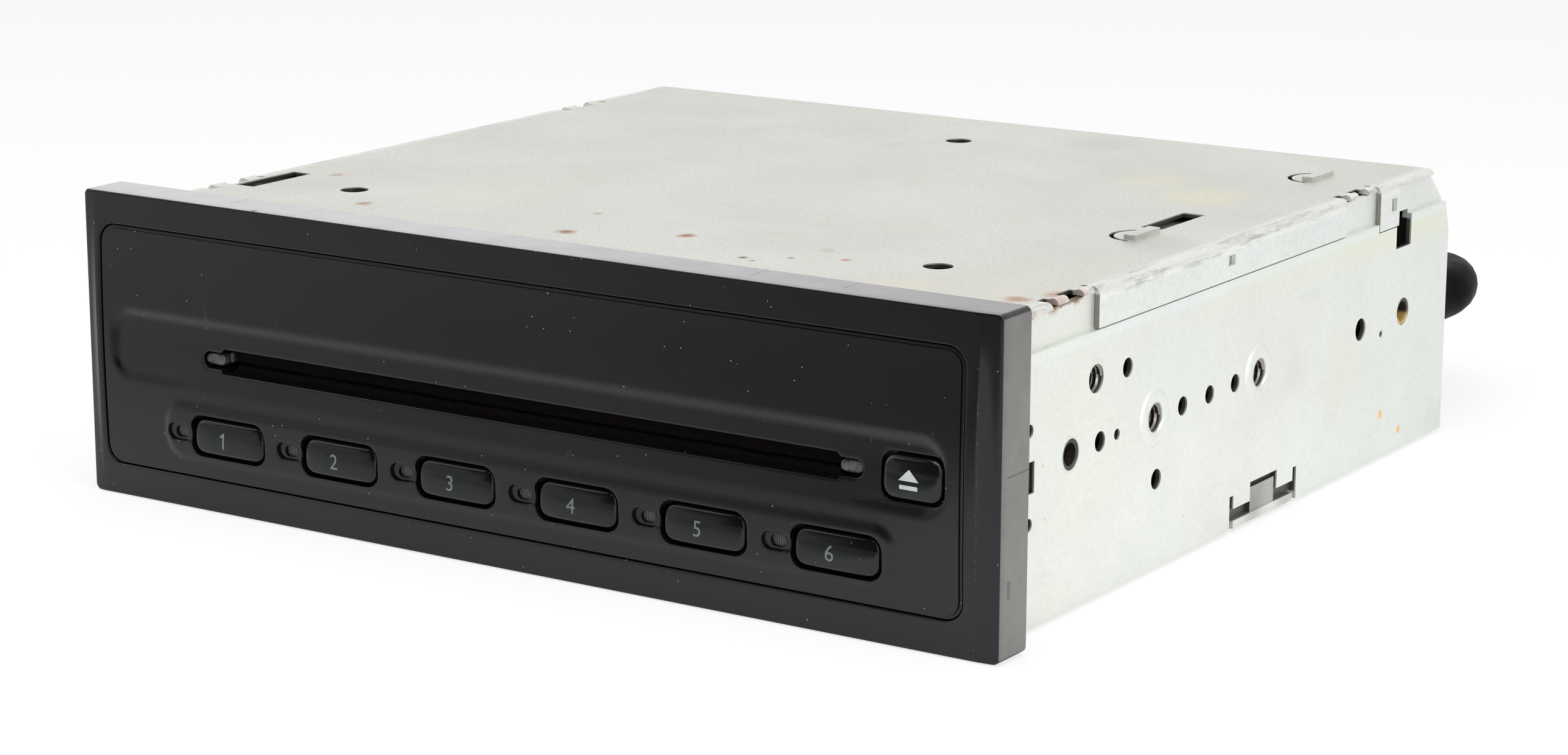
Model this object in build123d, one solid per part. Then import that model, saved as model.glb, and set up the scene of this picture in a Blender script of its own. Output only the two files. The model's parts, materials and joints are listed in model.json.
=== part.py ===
from build123d import *
import math
import os

os.makedirs("parts", exist_ok=True)

# Slot-loading six-disc changer for a car dashboard. Millimetres.
# X is to the right seen from the front, Y runs from the front to the rear, Z is up.
# The pieces are drawn with Y = 0 at the front face of the bezel and Z = 0 at its lower edge,
# and are moved along Y at the end, so that the origin lies under the middle of the object.

# Bezel and front panel
bezel_overhang = 5.0
bezel_height = 55.0
disc_level = 27.5
bezel_depth = 8.5
bezel_face = 3.7
bezel_wall = 2.0
bezel_corner = 1.2
bezel_edge = 0.5
panel_margin_x = 5.4
panel_margin_z = 5.9
panel_depth = 1.6
panel_corner = 3.2
panel_gap = 0.15
panel_ledge = 1.5
recess_depth = 0.8
bulge = 0.85
pad_margin_x = 3.7
pad_margin_z = 4.5
pad_root = 0.3

# Disc slot, its felts and its light guides
slot_center_x = 1.2
slot_width = 127.6
slot_height = 3.8
slot_recess_left = 0.9
slot_recess_right = 3.0
slot_recess_height = 12.4
slot_recess_corner = 4.6
slot_recess_rise = 0.6
felt_thickness = 1.4
felt_height = 3.2
felt_gap = 0.5
guide_length = 4.4
guide_height = 2.3
guide_depth = 5.0
guide_front_y = 0.3

# Buttons and indicator windows
button_count = 6
button_pitch = 25.2
button_row_center_x = 2.2
button_row_drop = 13.8
button_width = 16.8
button_height = 6.5
button_corner = 1.9
button_proud = 0.9
button_back_y = 7.0
button_gap = 0.5
button_flange = 0.7
button_flange_thickness = 1.0
button_flange_clearance = 0.1
button_stem_radius = 1.2
button_fillet = 0.6
eject_margin = 9.6
eject_width = 11.4
eject_height = 7.0
row_recess_extra = 10.2
row_recess_height = 9.6
row_recess_shift = -1.8
lens_width = 3.6
lens_height = 2.1
lens_offset = 11.5
lens_gap = 0.05
lens_front_y = 0.6

# Switch board and front carrier
switch_size = 6.0
switch_depth = 3.1
stem_gap = 0.9
board_thickness = 1.6
switch_board_bottom = 5.0
switch_board_top = 23.2
switch_board_margin = 4.0
riser_margin = 1.0
led_size = 2.0
led_depth = 1.1
carrier_plate = 1.5
carrier_clearance = 1.2
carrier_low = 2.5
carrier_top_gap = 1.0
rail_low = 16.0
rail_high = 33.0
rail_width = 2.0
rail_lip = 0.8
rail_gap = 0.2
lip_thickness = 1.2
lip_opening = 4.2
front_screw_inset = 3.7
front_screw_heights = (9.0, 42.5)
front_screw_radius = 0.9
front_boss_radius = 1.6
front_head_radius = 1.6

# Sheet metal case
case_width = 178.0
case_rear_y = 176.5
case_bottom = 0.5
cover_room = 2.1
wall = 1.0
cover_sheet = 0.8
bend_radius = 1.2
lid_clearance = 0.2
joggle_height = 45.0
joggle_step = 0.9
front_flange = 4.5
rear_slope_reach = 7.9
rear_slope_mid_reach = 2.1
rear_slope_mid = 45.6
rear_slope_low = 39.0
tapped_hole = 2.5
tapped_depth = 2.6
tapped_ring = 1.0
foot_radius = 4.0
foot_inset = 23.0
foot_rows = (40.0, 150.0)
post_inset = 14.0
post_rows = (30.0, 155.0)
board_post_radius = 3.0
floor_flange_top = 7.6
floor_flange_start = 4.0
floor_clearance = 0.1
tongue_half = 11.5
tongue_height = 1.4
latch_tongue_half = 4.6
latch_tongue_top = 6.4
latch_tongue_inset = 0.3
rear_flange_top = 13.0
rear_screw_x = (-62.0, 0.0, 50.0)
rear_screw_z = 9.0
rear_screw_radius = 1.3
rear_head_radius = 2.7
recess_arm = 1.6
recess_half_width = 0.4
recess_cut = 0.9
rear_screw_reach = 1.5

# Holes in each side wall: distance behind the bezel's face, height, radius
mount_holes = [(38.3, 37.2), (58.7, 26.6), (96.9, 26.8)]
plain_holes = [
    (49.1, 36.9, 1.65), (40.2, 26.4, 1.7), (45.9, 26.4, 0.95), (59.9, 15.8, 1.75),
    (68.8, 26.5, 1.65), (78.6, 26.5, 1.6), (88.1, 26.6, 1.6), (138.4, 26.7, 2.1),
    (147.4, 24.2, 0.6), (148.5, 8.7, 0.6), (156.8, 4.2, 0.6),
]
damper_hole = 2.6
damper_bore = 1.9
damper_bore_depth = 2.2
damper_front = (30.6, 26.3)
damper_rear_inset = 19.7
damper_rear_z = 26.8
latch_window_inset = 17.3
latch_window_width = 6.4
latch_window_low = 39.2
latch_window_high = 45.8
notch_y = 100.4
notch_width = 26.0
notch_height = 3.6
notch_slot_height = 6.0
notch_slot_width = 1.4
notch_window_width = 10.4
notch_window_height = 7.0
snap_window_y = 17.4
snap_window_length = 3.2
snap_window_low = 22.6
snap_window_high = 27.8
snap_hole = 1.1
snap_clearance = 0.25
snap_arm = 1.2
snap_barb = 0.7
snap_root = 0.5
snap_bridge = 1.5
snap_hole_offset = 5.0

# Top cover
flange_front_y = 39.0
flange_rear_y = 131.0
flange_low = 45.2
tab_inset = 31.3
tab_width = 8.4
tab_low = 43.6
tab_clearance = 0.2
cover_holes = [(-63.8, 38.0), (59.2, 38.6), (-0.6, 145.0)]
cover_hole = 2.55
slot_left_inset = 6.0
slot_left_y = 38.0
slot_right_inset = 16.3
slot_right_y = 94.9
cover_slot_width = 4.2
cover_slot_length = 16.0
lance_insets = [(14.4, 80.0), (13.6, 147.0)]
lance_radius = 5.6
lance_width = 2.2
lance_rise = 0.9
lance_cut = 0.8
lance_root = 0.2
lance_share = 0.8
knuckle_radius = 1.0
knuckle_length = 3.4
knuckle_front = 2.2
knuckle_rear = 0.8
flange_window = (84.2, 86.8)
flange_window_below = 1.0
flange_window_above = 0.8
tab_window_from = 5.0
tab_window_width = 2.2
tab_window_low = 3.0
tab_window_high = 5.4
cover_gap = 0.3
edge_cut = 3.2
edge_cut_front = 14.8
edge_cut_gap = 0.1

# Disc store
disc_center_y = 102.0
disc_thickness = 1.2
tray_radius = 61.0
tray_thickness = 1.0
tray_pitch = 2.7
tray_eye = 9.3
tray_slot = 18.0
tray_travel = 8.6
ear_width = 6.0
ear_radius = 5.2
screw_radius = 3.0
journal_radius = 1.5
running_clearance = 0.05
screw_places = {"front_left": (-72.0, 46.0), "front_right": (72.0, 46.0), "rear_right": (60.0, 158.0)}
lift_motor_place = (74.0, 102.0)
motor_neck_radius = 2.2
motor_neck_height = 1.5
motor_bore_depth = 6.0
shaft_end_depth = 5.0
lift_motor_radius = 6.8
lift_motor_top = 38.0
lift_shaft = 1.0
shaft_clearance = 0.4
pulley_radius = 6.0
belt_thickness = 0.8
belt_width = 2.4

# Mechanism frame
deck_drop = 18.9
deck_sheet = 1.2
deck_gap = 4.6
deck_front_y = 20.0
deck_rear_gap = 4.5
deck_flange_top = 32.0
upper_plate_rise = 17.9
upper_plate_sheet = 1.0
pulley_gap = 0.5
pulley_height = 3.0
pillar_radius = 2.0
pillar_inset = 3.9
pillar_front_y = 39.0
pillar_rear_inset = 4.0
pillar_left_x = -40.0
damper_radius = 5.0
nub_clearance = 0.05
damper_pin = 1.5
ear_half = 3.4
ear_sheet = 1.0
damper_gap = 0.6
pin_length = 3.6

# Disc feed
roller_y = 31.0
roller_radius = 4.0
roller_waist = 3.5
roller_half = 63.0
roller_shaft = 1.5
bracket_gap = 4.25
bracket_front = 12.5
bracket_rear = 4.0
bracket_rise = 9.5
guide_front = 8.0
guide_plate = 1.0
bracket_foot = 1.2
shaft_end = 1.0
bracket_sheet = 1.5
bracket_pitch = 6.75
gear_module = 0.6
roller_teeth = 24
pinion_teeth = 12
gear_width = 2.6
feed_motor_radius = 5.0
feed_shaft = 0.8
mesh_angle = 210.0
feed_motor_length = 8.0
shutter_overlap = 0.8
shutter_y = 16.2
shutter_sheet = 0.8
shutter_height = 7.0

# Playing arm
pivot = (-71.6, 150.0)
post_radius = 3.0
arm_half = 10.0
arm_drop = 10.1
arm_sheet = 1.0
arm_rail_height = 5.0
boss_radius = 6.0
boss_rise = 13.5
arm_gear_module = 0.8
arm_gear_teeth = 24
arm_pinion_teeth = 12
arm_gear_width = 3.0
mesh_clearance = 0.1
spindle_motor_radius = 8.5
spindle_motor_height = 4.0
spindle_floor = 1.0
turntable_radius = 8.6
turntable_gap = 0.4
turntable_drop = 1.9
sled_start = 25.0
sled_length = 16.0
sled_half_width = 8.2
sled_rise = 0.5
sled_height = 5.5
lens_rise = 0.8
rod_radius = 1.0
post_near = 14.0
post_far = 67.0
post_width = 2.0
sled_motor_length = 8.5
lens_barrel = 2.2
hub_height = 1.0
hub_radius = 7.4
arm_motor_radius = 5.5
arm_motor_drop = 11.0
rod_offset = 5.2
rod_rise = 4.6
rod_end = 0.5
post_rise = 1.8
screw_overrun = 2.5
sled_motor_radius = 3.5
clamp_hinge_back = 10.2
clamp_rise = 6.0
clamp_half_width = 6.0
clamp_sheet = 1.0
clamp_ear_half = 4.0
clamp_ear_rise = 2.5
clamp_tube_wall = 1.2
clamp_nose = 2.0
clamp_side_gap = 0.3
puck_radius = 8.8
puck_drop = 2.4
puck_gap = 0.3
stud_head_radius = 2.5
stud_head_height = 0.8

# Electronics, rear wall and harness
main_board_low = 3.2
main_board_inset = 16.0
main_board_front_y = 20.0
main_board_rear_gap = 8.5
ribbon_drop = 1.8
ribbon_sheet = 0.3
ribbon_width = 16.0
ribbon_x = 20.0
ribbon_top = 12.0
ribbon_lap = 5.0
ribbon_bend = 3.5
# Each part on the main board: x, y, width, length, height
board_part_list = [
    (-30.0, 60.0, 20.0, 20.0, 1.8), (12.0, 70.0, 14.0, 14.0, 1.6), (40.0, 64.0, 10.0, 16.0, 1.8),
    (-42.0, 110.0, 12.0, 18.0, 2.2), (0.0, 116.0, 24.0, 14.0, 2.0), (44.0, 120.0, 16.0, 16.0, 1.8),
    (58.0, 160.0, 22.0, 8.0, 3.0), (-20.0, 150.0, 16.0, 10.0, 2.4),
]
can_count = 5
can_radius = 2.5
can_height = 3.0
can_x = -56.0
can_y = 136.0
can_pitch = 9.0
harness_radius = 5.1
harness_inset = 10.0
harness_level = 22.0
grommet_flange = 8.6
grommet_lip = 1.6
grommet_hole = 7.4
connector_size = (24.0, 34.0, 12.0)
latch_length = 17.0
latch_width = 7.0
latch_height = 0.8
contact_count = 8
contact_pitch = 2.6
contact_size = 1.7
contact_depth = 7.0

# Derived places
mid_z = disc_level
bezel_mid_z = bezel_height / 2
bezel_width = case_width + 2 * bezel_overhang
panel_width = bezel_width - 2 * panel_margin_x
panel_height = bezel_height - 2 * panel_margin_z
pad_half = bezel_width / 2 - pad_margin_x
pad_rise_half = bezel_mid_z - pad_margin_z
slot_recess_width = panel_width - slot_recess_left - slot_recess_right
slot_recess_x = (slot_recess_left - slot_recess_right) / 2
eject_center_x = panel_width / 2 - eject_margin
row_recess_width = (button_count - 1) * button_pitch + button_width + row_recess_extra
row_recess_x = button_row_center_x + row_recess_shift
row_half = (button_count - 1) / 2 * button_pitch
switch_board_left = button_row_center_x - row_half - lens_offset - switch_board_margin
switch_board_right = eject_center_x + switch_board_margin
button_z = mid_z - button_row_drop
pad_radius = (pad_rise_half**2 + bulge**2) / (2 * bulge)
half_case = case_width / 2
inner_half = half_case - wall
carrier_half = inner_half - carrier_clearance
front_screw_x = half_case - front_screw_inset
deck_half = inner_half - deck_gap
main_board_half = inner_half - main_board_inset
foot_x = half_case - foot_inset
board_post_x = main_board_half - post_inset
slot_left = (slot_left_inset - half_case, slot_left_y)
slot_right = (half_case - slot_right_inset, slot_right_y)
lance_centers = [(half_case - inset, y) for inset, y in lance_insets]
rear_slope_y = case_rear_y - rear_slope_reach
rear_slope_mid_y = case_rear_y - rear_slope_mid_reach
damper_rear = (case_rear_y - damper_rear_inset, damper_rear_z)
tab_front_y = case_rear_y - tab_inset
tab_rear_y = tab_front_y + tab_width
tab_window = (tab_front_y + tab_window_from, tab_front_y + tab_window_from + tab_window_width)
edge_cut_spans = [
    (flange_front_y - edge_cut_front, flange_front_y - edge_cut_gap),
    (flange_rear_y + edge_cut_gap, tab_front_y - edge_cut_gap),
]
deck_rear_y = case_rear_y - deck_rear_gap
pillar_rear_y = deck_rear_y - pillar_rear_inset
main_board_rear_y = case_rear_y - main_board_rear_gap
pillar_x = deck_half - pillar_inset
pillar_places = [
    (-pillar_x, pillar_front_y), (pillar_x, pillar_front_y),
    (pillar_x, pillar_rear_y), (pillar_left_x, pillar_rear_y),
]
harness_exit = (half_case - harness_inset, harness_level)
deck_bottom = disc_level - deck_drop
upper_plate_bottom = disc_level + upper_plate_rise
pulley_low = upper_plate_bottom + upper_plate_sheet + pulley_gap
case_top = pulley_low + pulley_height + cover_room
shutter_half = slot_center_x + slot_width / 2 + shutter_overlap
shutter_low = disc_level - shutter_height / 2
shutter_high = disc_level + shutter_height / 2
bracket_x = roller_half + bracket_gap
arm_low = disc_level - arm_drop
arm_rail_top = arm_low + arm_rail_height
boss_top = disc_level + boss_rise
arm_motor_top = boss_top - arm_motor_drop
spindle_motor_top = arm_low + arm_sheet + spindle_motor_height
turntable_top = disc_level - turntable_drop
sled_low = arm_low + arm_sheet + sled_rise
sled_high = sled_low + sled_height
rod_height = arm_low + rod_rise
clamp_height = disc_level + clamp_rise
lid_low = case_top - cover_sheet
wall_top = lid_low - lid_clearance
case_front_y = bezel_depth
deck_top = deck_bottom + deck_sheet
tray_play_low = mid_z - disc_thickness / 2 - tray_thickness
switch_front_y = button_back_y + 1.0 + stem_gap
switch_board_y = switch_front_y + switch_depth
carrier_y = switch_board_y + board_thickness + 0.4
roller_z = mid_z - disc_thickness / 2 - roller_radius
pivot_to_disc = math.hypot(pivot[0], pivot[1] - disc_center_y)
spindle_y = pivot[1] - pivot_to_disc
front_reach = -button_proud
screw_head_reach = 1.6
shift_y = -(front_reach + case_rear_y + screw_head_reach) / 2


def block(x0, x1, y0, y1, z0, z1):
    """A box between two corners."""
    return Pos((x0 + x1) / 2, (y0 + y1) / 2, (z0 + z1) / 2) * Box(x1 - x0, y1 - y0, z1 - z0)


def slab_x(sketch, x0, x1):
    """A sketch drawn on Y and Z, extruded along X."""
    return extrude(Plane.YZ.offset(x0) * sketch, x1 - x0)


def slab_y(sketch, y0, y1):
    """A sketch drawn on X and Z, extruded along Y."""
    return extrude(Plane.XZ.offset(-y1) * sketch, y1 - y0)


def slab_z(sketch, z0, z1):
    """A sketch drawn on X and Y, extruded along Z."""
    return extrude(Plane.XY.offset(z0) * sketch, z1 - z0)


def rod_x(radius, x0, x1, y, z):
    """A round bar along X."""
    return slab_x(Pos(y, z) * Circle(radius), x0, x1)


def rod_y(radius, y0, y1, x, z):
    """A round bar along Y."""
    return slab_y(Pos(x, z) * Circle(radius), y0, y1)


def rod_z(radius, z0, z1, x, y):
    """A round bar along Z."""
    return slab_z(Pos(x, y) * Circle(radius), z0, z1)


def rounded(width, height, radius, x, z):
    """A rectangle with round corners, centred on a place."""
    return Pos(x, z) * RectangleRounded(width, height, radius)


def mirrored(solid):
    """The piece and its mirror image across the middle."""
    return solid + mirror(solid, Plane.YZ)


def spur_gear(module, teeth, phase=0.0):
    """The flat outline of a gear with slim straight-sided teeth."""
    pitch = module * teeth / 2
    root = pitch - 1.15 * module
    tip = pitch + 0.85 * module
    step = 360.0 / teeth
    gear = Circle(root)
    half_root = 0.27 * step
    half_tip = 0.10 * step
    root_in = root - 0.3 * module
    corners = []
    for radius, turn in ((root_in, -half_root), (tip, -half_tip), (tip, half_tip), (root_in, half_root)):
        angle = math.radians(turn)
        corners.append((radius * math.cos(angle), radius * math.sin(angle)))
    tooth = make_face(Polyline(*corners, close=True))
    for index in range(teeth):
        gear += Rot(0, 0, phase + index * step) * tooth
    return gear


def button_x(index):
    """The middle of a numbered button."""
    return button_row_center_x + (index - (button_count - 1) / 2) * button_pitch


def lens_x(index):
    """The middle of the window beside a numbered button."""
    return button_x(index) - lens_offset


def pad_cylinder(half_width, depth=0.0):
    """The large cylinder whose side is the convex front, or the same face set back by a depth."""
    return rod_x(pad_radius - depth, -half_width, half_width, pad_radius - bulge, bezel_mid_z)


def front_bezel():
    """Hollow front frame with a convex pad, the opening for the panel and two snap arms."""
    shell = slab_y(rounded(bezel_width, bezel_height, bezel_corner, 0, bezel_mid_z), 0, bezel_depth)
    shell = fillet(shell.edges().group_by(Axis.Y)[0], bezel_edge)
    shell += pad_cylinder(pad_half) & block(-pad_half, pad_half, -bulge - 1, pad_root, 0, bezel_height)
    inside = bezel_width / 2 - bezel_wall
    shell -= block(-inside, inside, bezel_face, bezel_depth + 1, bezel_wall, bezel_height - bezel_wall)
    opening = rounded(
        panel_width + 2 * panel_gap, panel_height + 2 * panel_gap, panel_corner + panel_gap, 0, bezel_mid_z
    )
    shell -= slab_y(opening, -bulge - 1, panel_depth)
    seat_width = panel_width - 2 * panel_ledge
    seat = rounded(seat_width, panel_height - 2 * panel_ledge, panel_corner, 0, bezel_mid_z)
    shell -= slab_y(seat, panel_depth - 1, bezel_face + 1)
    outer = inner_half - snap_clearance
    barb_end = snap_window_y + snap_window_length / 2 - snap_clearance
    arm = block(
        outer - snap_arm, outer, bezel_face - snap_root, barb_end,
        snap_window_low + snap_clearance, snap_window_high - snap_clearance,
    )
    arm += block(
        outer - snap_arm, inside + bezel_wall / 2, bezel_face - snap_root,
        bezel_face + snap_bridge, snap_window_low + snap_clearance, snap_window_high - snap_clearance,
    )
    arm += block(
        outer - 0.1, outer + snap_barb, snap_window_y - snap_window_length / 2 + snap_clearance,
        barb_end, snap_window_low + snap_clearance, snap_window_high - snap_clearance,
    )
    return shell + mirrored(arm)


def front_panel():
    """Inner plate with two shallow recesses and the openings for buttons, windows and disc slot."""
    outline = rounded(panel_width, panel_height, panel_corner, 0, bezel_mid_z)
    plate = slab_y(outline, -bulge - 1, panel_depth) & pad_cylinder(pad_half)
    slot_recess = rounded(
        slot_recess_width, slot_recess_height, slot_recess_corner, slot_recess_x, mid_z + slot_recess_rise
    )
    plate -= slab_y(slot_recess, -bulge - 1, panel_depth) - pad_cylinder(pad_half, recess_depth)
    end_radius = row_recess_height / 2.1
    row_recess = rounded(row_recess_width, row_recess_height, end_radius, row_recess_x, button_z)
    plate -= slab_y(row_recess, -bulge - 1, panel_depth) - pad_cylinder(pad_half, recess_depth)
    openings = rounded(slot_width, slot_height, slot_height / 4, slot_center_x, mid_z)
    guide_span = slot_width + 2 * guide_length + 2 * lens_gap
    openings += rounded(guide_span, guide_height + 2 * lens_gap, guide_height / 3, slot_center_x, mid_z)
    openings += rounded(
        eject_width + 2 * button_gap, eject_height + 2 * button_gap, button_corner + button_gap,
        eject_center_x, mid_z,
    )
    window = SlotOverall(lens_width + 2 * lens_gap, lens_height + 2 * lens_gap)
    for index in range(button_count):
        openings += rounded(
            button_width + 2 * button_gap, button_height + 2 * button_gap, button_corner + button_gap,
            button_x(index), button_z,
        )
        openings += Pos(lens_x(index), button_z) * window
    return plate - slab_y(openings, -2, panel_depth + 1)


def slot_felts():
    """Two strips that almost close the disc slot, behind the panel."""
    half = slot_width / 2
    felts = []
    for side in (1, -1):
        near = mid_z + side * felt_gap / 2
        far = near + side * felt_height
        felts.append(
            block(
                slot_center_x - half, slot_center_x + half, panel_depth, panel_depth + felt_thickness,
                min(near, far), max(near, far),
            )
        )
    return felts


def slot_light_guides():
    """Clear blocks at the two ends of the disc slot."""
    guides = []
    for side in (1, -1):
        middle = slot_center_x + side * (slot_width + guide_length) / 2
        sketch = rounded(guide_length, guide_height, guide_height / 3, middle, mid_z)
        guides.append(slab_y(sketch, guide_front_y, guide_front_y + guide_depth))
    return guides


def push_button(width, height, x, z):
    """A cap with a stop flange behind the panel and a stem for the switch."""
    cap = slab_y(rounded(width, height, button_corner, x, z), -button_proud, button_back_y)
    cap = fillet(cap.edges().group_by(Axis.Y)[0], button_fillet)
    flange_y = panel_depth + button_flange_clearance
    flange = rounded(width + 2 * button_flange, height + 2 * button_flange, button_corner + 0.5, x, z)
    cap += slab_y(flange, flange_y, flange_y + button_flange_thickness)
    stem_end = switch_front_y - stem_gap
    return cap + rod_y(button_stem_radius, button_back_y - 0.5, stem_end, x, z)


def indicator_lenses():
    """Small clear rods that bring the light of each lamp to its window."""
    lenses = []
    for index in range(button_count):
        sketch = Pos(lens_x(index), button_z) * SlotOverall(lens_width, lens_height)
        lenses.append(slab_y(sketch, lens_front_y, switch_board_y - led_depth - 0.2))
    return lenses


def switch_board():
    """Printed board behind the buttons, with a raised end for the eject switch."""
    board = block(
        switch_board_left, switch_board_right, switch_board_y, switch_board_y + board_thickness,
        switch_board_bottom, switch_board_top,
    )
    riser_left = eject_center_x - switch_size / 2 - riser_margin
    board += block(
        riser_left, switch_board_right, switch_board_y, switch_board_y + board_thickness,
        switch_board_top - riser_margin, mid_z + switch_size / 2 + riser_margin,
    )
    return board


def switch_board_parts():
    """One key switch behind each button and one lamp behind each window."""
    places = [(button_x(index), button_z) for index in range(button_count)]
    places.append((eject_center_x, mid_z))
    parts = []
    half = switch_size / 2
    for x, z in places:
        parts.append(block(x - half, x + half, switch_front_y, switch_board_y, z - half, z + half))
    for index in range(button_count):
        x = lens_x(index)
        parts.append(
            block(
                x - led_size / 2, x + led_size / 2, switch_board_y - led_depth, switch_board_y,
                button_z - led_size / 2, button_z + led_size / 2,
            )
        )
    return parts


def front_carrier():
    """Plate behind the switch board with the lips of the disc slot and the rails of the shutter."""
    top = wall_top - carrier_top_gap
    plate = block(-carrier_half, carrier_half, carrier_y, carrier_y + carrier_plate, carrier_low, top)
    half = slot_width / 2
    left = slot_center_x - half
    right = slot_center_x + half
    lip_front = panel_depth + felt_thickness
    half_opening = lip_opening / 2
    plate -= block(left, right, carrier_y - 1, carrier_y + 3, mid_z - half_opening, mid_z + half_opening)
    for side in (1, -1):
        near = mid_z + side * half_opening
        far = near + side * lip_thickness
        plate += block(left, right, lip_front, carrier_y + 0.5, min(near, far), max(near, far))
    hook_room = block(
        carrier_half - 2.0, carrier_half + 1, carrier_y - 1, carrier_y + 3,
        snap_window_low - 2.0, snap_window_high + 2.0,
    )
    plate -= mirrored(hook_room)
    rail_y = carrier_y + carrier_plate
    rail_x = shutter_half + rail_gap
    lip_y = shutter_y + shutter_sheet + rail_gap
    rail = block(rail_x, rail_x + rail_width, rail_y - 0.5, lip_y + rail_lip, rail_low, rail_high)
    lip_x = rail_x - rail_width * 0.8
    rail += block(lip_x, rail_x + rail_width / 2, lip_y, lip_y + rail_lip, rail_low, rail_high)
    plate += mirrored(rail)
    for z in front_screw_heights:
        boss = rod_y(front_boss_radius, case_front_y + wall, carrier_y + 0.5, front_screw_x, z)
        boss -= rod_y(front_screw_radius, case_front_y, carrier_y - 1.0, front_screw_x, z)
        plate += mirrored(boss)
    return plate


def front_screws():
    """Four screws through the turned-in front edges of the case into the carrier."""
    screws = []
    for side in (1, -1):
        for z in front_screw_heights:
            x = side * front_screw_x
            screw = rod_y(front_screw_radius, case_front_y - 0.2, carrier_y - 1.2, x, z)
            screw += rod_y(front_head_radius, case_front_y - 1.2, case_front_y, x, z)
            screws.append(screw)
    return screws


def slot_shutter():
    """Flat door that closes the slot behind the carrier."""
    rear = shutter_y + shutter_sheet
    return block(-shutter_half, shutter_half, shutter_y, rear, shutter_low, shutter_high)


def side_outline():
    """Side view of the case with its sloped upper rear corner."""
    return make_face(
        Polyline(
            (case_front_y, case_bottom), (case_rear_y, case_bottom), (case_rear_y, rear_slope_low),
            (rear_slope_mid_y, rear_slope_mid), (rear_slope_y, wall_top), (case_front_y, wall_top),
            close=True,
        )
    )


def side_wall():
    """Right wall: the upper band is stepped inwards for the flange of the top cover."""
    outline = side_outline()
    low_band = Pos(case_rear_y / 2, (joggle_height + case_bottom) / 2) * Rectangle(
        case_rear_y, joggle_height - case_bottom
    )
    high_band = Pos(case_rear_y / 2, (joggle_height + wall_top) / 2) * Rectangle(
        case_rear_y, wall_top - joggle_height
    )
    step = Pos(case_rear_y / 2, joggle_height - wall / 2) * Rectangle(case_rear_y, wall)
    sheet = slab_x(outline & low_band, inner_half, half_case)
    sheet += slab_x(outline & high_band, inner_half - joggle_step, half_case - joggle_step)
    sheet += slab_x(outline & step, inner_half - joggle_step, half_case)
    sheet += block(
        inner_half - joggle_step, half_case - joggle_step, tab_front_y - wall, tab_rear_y + wall,
        tab_low - wall, joggle_height,
    )
    sheet -= block(
        half_case - joggle_step, half_case + 1, tab_front_y - tab_clearance, tab_rear_y + tab_clearance,
        tab_low - tab_clearance, joggle_height + 0.1,
    )
    holes = []
    for y, z in mount_holes:
        sheet += rod_x(tapped_hole + tapped_ring, inner_half - tapped_depth + wall, half_case, y, z)
        holes.append((y, z, tapped_hole))
    for y, z in (damper_front, damper_rear):
        holes.append((y, z, damper_hole))
    for y, z, radius in plain_holes + holes:
        sheet -= rod_x(radius, inner_half - 5, half_case + 1, y, z)
    cuts = Pos(snap_window_y, (snap_window_low + snap_window_high) / 2) * Rectangle(
        snap_window_length, snap_window_high - snap_window_low
    )
    for z in (snap_window_high + snap_hole_offset, snap_window_low - snap_hole_offset):
        cuts += Pos(snap_window_y, z) * Circle(snap_hole)
    window_y = case_rear_y - latch_window_inset - latch_window_width / 2
    window_z = (latch_window_low + latch_window_high) / 2
    cuts += Pos(window_y, window_z) * Rectangle(latch_window_width, latch_window_high - latch_window_low)
    cuts += Pos(notch_y, case_bottom) * Rectangle(notch_width, 2 * notch_height)
    cuts += Pos(notch_y, case_bottom) * Rectangle(notch_window_width, 2 * notch_window_height)
    for side in (1, -1):
        slot_y = notch_y + side * (notch_width - notch_slot_width) / 2
        cuts += Pos(slot_y, case_bottom) * Rectangle(notch_slot_width, 2 * notch_slot_height)
    return sheet - slab_x(cuts, inner_half - joggle_step - 1, half_case + 1)


def main_chassis():
    """Both side walls, the rear wall with its sloped top, and the turned-in front edges."""
    walls = side_wall()
    for z0, z1 in ((case_bottom, 14.0), (40.0, joggle_height - wall)):
        near = half_case - front_flange - wall
        walls += block(near, half_case - 0.1, case_front_y, case_front_y + wall, z0, z1)
    for z in front_screw_heights:
        walls -= rod_y(front_screw_radius, case_front_y - 1, case_front_y + wall + 1, front_screw_x, z)
    walls = mirrored(walls)
    rear = side_outline() - side_inner()
    back = slab_x(rear, -inner_half, inner_half)
    back -= block(-half_case, half_case, case_front_y - 1, rear_slope_y - 6.0, 0, case_top + 1)
    joggle_in = inner_half - joggle_step
    back -= mirrored(block(joggle_in, half_case, case_front_y, case_rear_y + 1, joggle_height, case_top))
    walls += back
    walls -= rod_y(grommet_hole, case_rear_y - 3, case_rear_y + 1, *harness_exit)
    for x in rear_screw_x:
        walls -= rod_y(rear_screw_radius, case_rear_y - 3, case_rear_y + 1, x, rear_screw_z)
    return walls


def side_inner():
    """The space inside the rear wall, in side view, open below."""
    low = case_bottom - 1
    return make_face(
        Polyline(
            (case_front_y - 1, low), (case_rear_y - wall, low), (case_rear_y - wall, rear_slope_low),
            (rear_slope_mid_y - wall, rear_slope_mid), (rear_slope_y - wall, wall_top + 0.01),
            (case_front_y - 1, wall_top + 0.01), close=True,
        )
    )


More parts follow.
